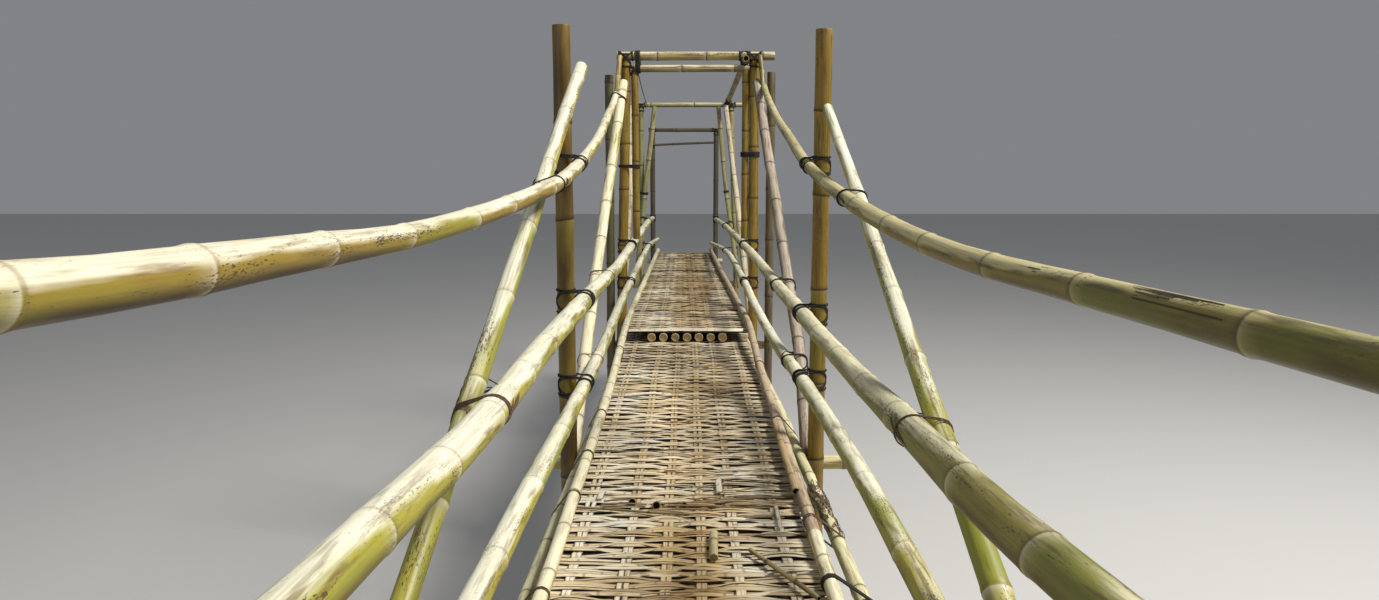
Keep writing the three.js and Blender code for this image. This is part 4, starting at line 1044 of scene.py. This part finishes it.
# the culms, the place on the far half, turns, the cord's radius, and how it is wound: ring goes
# round both culms, cross goes both ways over them, square also binds each beside the crossing
TIES = (
    ("mid_rail_left span_post_left", (-0.60, 4.25, 2.973), 3, 0.0034, "square", "ropes"),
    ("low_rail_left span_post_left", (-0.60, 4.25, 2.525), 3, 0.0034, "square", "ropes"),
    ("top_rail_left span_post_left", (-0.60, 4.25, 3.68), 3, 0.0034, "square", "ropes"),
    ("top_rail_left span_brace_left", (-0.55, 3.00, 3.618), 2, 0.0030, "cross", "ropes"),
    ("mid_rail_left span_brace_left", (-0.585, 1.80, 3.025), 5, 0.0022, "cross", "twine"),
    ("mid_rail_left tower_brace_left", (-0.59, 5.69, 2.92), 3, 0.0024, "cross", "twine"),
    ("low_rail_left tower_brace_left", (-0.585, 4.87, 2.525), 2, 0.0024, "cross", "twine"),
    ("mid_rail_left tower_post_left", (-0.53, 7.6, 2.948), 3, 0.0034, "square", "ropes"),
    ("low_rail_left tower_post_left", (-0.55, 7.6, 2.631), 3, 0.0036, "square", "ropes"),
    ("top_rail_left tower_brace_left", (-0.56, 7.3, 4.17), 3, 0.0045, "ring", "ropes"),
    ("mid_rail_right span_post_right", (0.63, 4.25, 2.90), 3, 0.0034, "square", "ropes"),
    ("low_rail_right span_post_right", (0.63, 4.25, 2.552), 3, 0.0034, "square", "ropes"),
    ("top_rail_right span_post_right", (0.64, 4.25, 3.672), 3, 0.0034, "square", "ropes"),
    ("top_rail_right span_brace_right", (0.69, 3.375, 3.546), 2, 0.0042, "cross", "ropes"),
    ("mid_rail_right span_brace_right", (0.652, 1.765, 2.978), 3, 0.0022, "cross", "twine"),
    ("mid_rail_right tower_brace_right", (0.60, 5.4, 2.90), 3, 0.0046, "cross", "ropes"),
    ("low_rail_right tower_brace_right", (0.60, 4.775, 2.541), 3, 0.0042, "cross", "ropes"),
    ("mid_rail_right tower_post_right", (0.50, 7.6, 2.954), 3, 0.0034, "square", "ropes"),
    ("low_rail_right tower_post_right", (0.51, 7.6, 2.633), 3, 0.0036, "square", "ropes"),
    ("tower_top_beam tower_post_left", (-0.53, 7.6, 4.51), 3, 0.0038, "square", "ropes"),
    ("tower_top_beam tower_post_right", (0.54, 7.6, 4.51), 3, 0.0038, "square", "ropes"),
    ("tower_top_beam low_beam", (-0.43, 7.6, 4.48), 4, 0.0060, "ring", "ropes"),
    ("tower_top_beam head_tie", (0.46, 7.6, 4.50), 3, 0.0036, "square", "ropes"),
    ("low_beam hanger_left", (-0.459, 7.6, 4.40), 3, 0.0055, "cross", "ropes"),
    ("tower_post_right hanger_right", (0.50, 7.6, 3.72), 4, 0.0060, "ring", "ropes"),
    ("tower_post_left hanger_left", (-0.51, 7.6, 3.62), 3, 0.0055, "ring", "ropes"),
    ("approach_frame head_tie", (0.455, 10.95, 4.30), 3, 0.0036, "square", "ropes"),
    ("approach_frame approach_post_left", (-0.56, 10.95, 4.27), 3, 0.0036, "square", "ropes"),
    ("approach_frame approach_post_right", (0.49, 10.95, 4.27), 3, 0.0036, "square", "ropes"),
    ("strut_left approach_post_left", (-0.545, 10.9, 3.26), 3, 0.0050, "ring", "ropes"),
    ("strut_right", (0.43, 10.89, 3.28), 3, 0.0050, "ring", "ropes"),
    ("mid_rail_left strut_left", (-0.52, 10.9, 2.93), 3, 0.0042, "cross", "ropes"),
    ("mid_rail_right strut_right", (0.455, 10.9, 2.88), 3, 0.0042, "cross", "ropes"),
    ("low_rail_left approach_post_left", (-0.53, 10.95, 2.63), 3, 0.0034, "square", "ropes"),
    ("low_rail_right approach_post_right", (0.49, 10.95, 2.58), 3, 0.0034, "square", "ropes"),
    ("mid_rail_left end_post_left", (-0.529, 13.46, 2.797), 3, 0.0034, "square", "ropes"),
    ("mid_rail_right end_post_right", (0.379, 13.46, 2.785), 3, 0.0034, "square", "ropes"),
    ("end_beam end_post_left", (-0.529, 13.5, 4.03), 3, 0.0034, "square", "ropes"),
    ("end_beam end_post_right", (0.379, 13.5, 4.03), 3, 0.0034, "square", "ropes"),
    ("kerb_left edge_pole_left", (-0.56, 1.62, 2.19), 2, 0.0026, "ring", "twine"),
    ("kerb_left edge_pole_left", (-0.56, 2.35, 2.19), 2, 0.0026, "ring", "twine"),
    ("kerb_left edge_pole_left", (-0.56, 3.35, 2.19), 2, 0.0030, "ring", "twine"),
    ("kerb_left edge_pole_left", (-0.55, 3.95, 2.19), 3, 0.0026, "ring", "twine"),
    ("kerb_left edge_pole_left", (-0.55, 4.75, 2.19), 2, 0.0026, "ring", "twine"),
    ("kerb_left edge_pole_left", (-0.55, 6.4, 2.19), 3, 0.0026, "ring", "twine"),
    ("kerb_right edge_pole_right", (0.56, 2.45, 2.19), 3, 0.0045, "ring", "ropes"),
    ("kerb_right edge_pole_right", (0.56, 3.05, 2.19), 3, 0.0026, "ring", "twine"),
    ("kerb_right edge_pole_right", (0.56, 4.6, 2.19), 3, 0.0026, "ring", "twine"),
    ("kerb_right edge_pole_right", (0.54, 6.0, 2.19), 2, 0.0026, "ring", "twine"),
)
TUBE = 0.25


def nearest(name, at):
    """The place, heading and radius of a culm where it comes closest to a place."""
    run, radius = runs[name]
    a, b = run[:-1], run[1:]
    step = b - a
    part = np.clip(((at - a) * step).sum(1) / (step * step).sum(1), 0, 1)
    spots = a + part[:, None] * step
    i = int(np.argmin(((spots - at) ** 2).sum(1)))
    return spots[i], unit(step[i]), radius(spots[i]) if callable(radius) else radius


def half_hull(ordered):
    """One side of the outline round the given spots."""
    hull = []
    for p in ordered:
        while len(hull) > 1 and ((hull[-1][0] - hull[-2][0]) * (p[1] - hull[-2][1])
                                 - (hull[-1][1] - hull[-2][1]) * (p[0] - hull[-2][0])) <= 0:
            hull.pop()
        hull.append(p)
    return hull[:-1]


def turn_of_rope(sections, centre, normal, rope, lift):
    """One closed turn round the culms that a slanting plane cuts: the outline of their sections in
    that plane, and a ring pulled onto it."""
    normal = unit(normal)
    first = sections[0][0] - centre if len(sections) == 1 else sections[1][0] - sections[0][0]
    if np.linalg.norm(first) < 1e-6:
        first = np.array([1.0, 0.3, 0.2])
    u = unit(first - normal * first.dot(normal))
    w = np.cross(normal, u)
    outline = []
    for place, heading, radius in sections:
        slope = heading.dot(normal)
        middle = place + heading * ((centre - place).dot(normal) / slope)
        wide = np.cross(heading, normal)
        wide = u if np.linalg.norm(wide) < 1e-6 else unit(wide)
        long = np.cross(normal, wide)
        short_reach = radius + rope + lift
        long_reach = radius / max(abs(slope), 0.35) + rope + lift
        for k in range(40):
            angle = k * math.pi / 20
            out = middle + wide * short_reach * math.cos(angle) + long * long_reach * math.sin(angle)
            outline.append(((out - centre).dot(u), (out - centre).dot(w)))
    outline.sort()
    hull = np.array(half_hull(outline) + half_hull(outline[::-1]))
    loop = np.concatenate([hull, hull[:1]])
    reach = lengths_along(loop)

    clear_selection()
    bpy.ops.mesh.primitive_torus_add(
        major_segments=24, minor_segments=5, major_radius=1, minor_radius=TUBE)
    ring = bpy.context.object
    flat = corners_of(ring.data)
    s = np.arctan2(flat[:, 1], flat[:, 0]) % FULL_TURN / FULL_TURN * reach[-1]
    at = on_run(s, reach, loop)
    way = on_run((s + 0.002) % reach[-1], reach, loop) - at
    way /= np.linalg.norm(way, axis=1)[:, None] + 1e-12
    outward = np.stack([way[:, 1], -way[:, 0]], axis=1)
    at = at + outward * ((np.hypot(flat[:, 0], flat[:, 1]) - 1) * rope / TUBE)[:, None]
    aside = (flat[:, 2] * rope / TUBE)[:, None] * normal
    move_corners(ring.data, centre + at[:, :1] * u + at[:, 1:] * w + aside)
    close_up()
    bpy.ops.object.shade_smooth()
    return ring


def lashing(culms, at, turns, rope, style, dice):
    """Turns of rope round the named culms near a place. Style is ring, cross or square."""
    sections = [nearest(name, np.array(at, float)) for name in culms]
    centre = sum(s[0] for s in sections) / len(sections)
    a = sections[0][1]
    b = sections[-1][1] * (1 if sections[-1][1].dot(a) >= 0 else -1)
    apart = rope * (1.75 if rope > 0.003 else 3.6)
    rings = []

    def wind(over, middle, normal, count):
        normal = unit(normal)
        for k in range(count):
            shift = (k - (count - 1) / 2) * apart
            tilt = np.array([dice.uniform(-1, 1) for _ in range(3)]) * 0.045
            lift = dice.uniform(-0.001, 0.0004)
            rings.append(turn_of_rope(over, middle + normal * shift, normal + tilt, rope, lift))

    if style == "ring":
        wind(sections, centre, a + b, turns)
    else:
        wind(sections, centre, a + b, max(turns - 1, 1))
        wind(sections, centre, a - b, max(turns - 1, 1))
    if style == "square":
        slope = max(np.linalg.norm(np.cross(a, b)), 0.5)
        for mine, other in (sections, sections[::-1]):
            for way in (-1, 1):
                beside = mine[0] + mine[1] * way * (other[2] / slope + rope * (turns + 0.6))
                wind([(beside, mine[1], mine[2])], beside, mine[1], turns - 1)
    return rings


dice = random.Random(77)
groups = {}
for culms, (x, y, z), turns, rope, style, kind in TIES:
    row = "middle" if y < 3.7 else "span" if y < 6.5 else "tower" if y < 9 else "approach"
    for end, way in ENDS:
        names = [n + "_" + end if n + "_" + end in runs else n for n in culms.split()]
        rings = lashing(names, (x, way * y, z), turns, rope, style, dice)
        groups.setdefault((kind, row, end), []).extend(rings)
for (kind, row, end), rings in groups.items():
    hand_over(lashed_together("_".join((kind, row, end)), rings), "fibre_rope", FIBRES[kind])

# ---------------------------------------------------------------- studio
# A pale floor, one large soft light high on the right, a weaker one on the left, and a
# camera where a person on the deck stands, just before mid-span.
EYE_HEIGHT = 1.54
EYE_BACK = 0.9
LOOK_DOWN = 8.45
FOCAL_PIXELS = 996
FRAME_PIXELS = 1379
clear_selection()
bpy.ops.mesh.primitive_plane_add(size=120, location=(0, 0, -0.0005))
floor = bpy.context.object
floor.name = "studio_floor"
pale_floor = bpy.data.materials.new("pale_studio_floor")
pale_floor.use_nodes = True
matte = pale_floor.node_tree.nodes["Principled BSDF"]
matte.inputs["Base Color"].default_value = (0.58, 0.58, 0.57, 1)
matte.inputs["Roughness"].default_value = 0.9
floor.data.materials.append(pale_floor)

air = bpy.data.worlds.new("studio_air")
air.use_nodes = True
air.node_tree.nodes["Background"].inputs[0].default_value = (0.93, 0.95, 1.0, 1)
air.node_tree.nodes["Background"].inputs[1].default_value = 0.24
bpy.context.scene.world = air


def soft_light(name, place, size, power, colour, target=(0, 5, 2.5)):
    light = bpy.data.lights.new(name, "AREA")
    light.size = size
    light.energy = power
    light.color = colour
    holder = bpy.data.objects.new(name, light)
    bpy.context.collection.objects.link(holder)
    holder.location = place
    holder.rotation_euler = (Vector(target) - Vector(place)).to_track_quat("-Z", "Y").to_euler()


soft_light("key_light", (9, 3, 15), size=4, power=3300, colour=(1.0, 0.96, 0.90))
soft_light("fill_light", (-10, -6, 9), size=8, power=260, colour=(0.93, 0.96, 1.0))

eye = bpy.data.cameras.new("eye")
eye.sensor_width = 36
eye.lens = eye.sensor_width * FOCAL_PIXELS / FRAME_PIXELS
eye.clip_end = 300
camera = bpy.data.objects.new("eye", eye)
bpy.context.collection.objects.link(camera)
camera.location = (0, -EYE_BACK, DECK + EYE_HEIGHT)
camera.rotation_euler = (math.radians(90 - LOOK_DOWN), 0, 0)
bpy.context.scene.camera = camera
bpy.context.scene.view_settings.view_transform = "Standard"
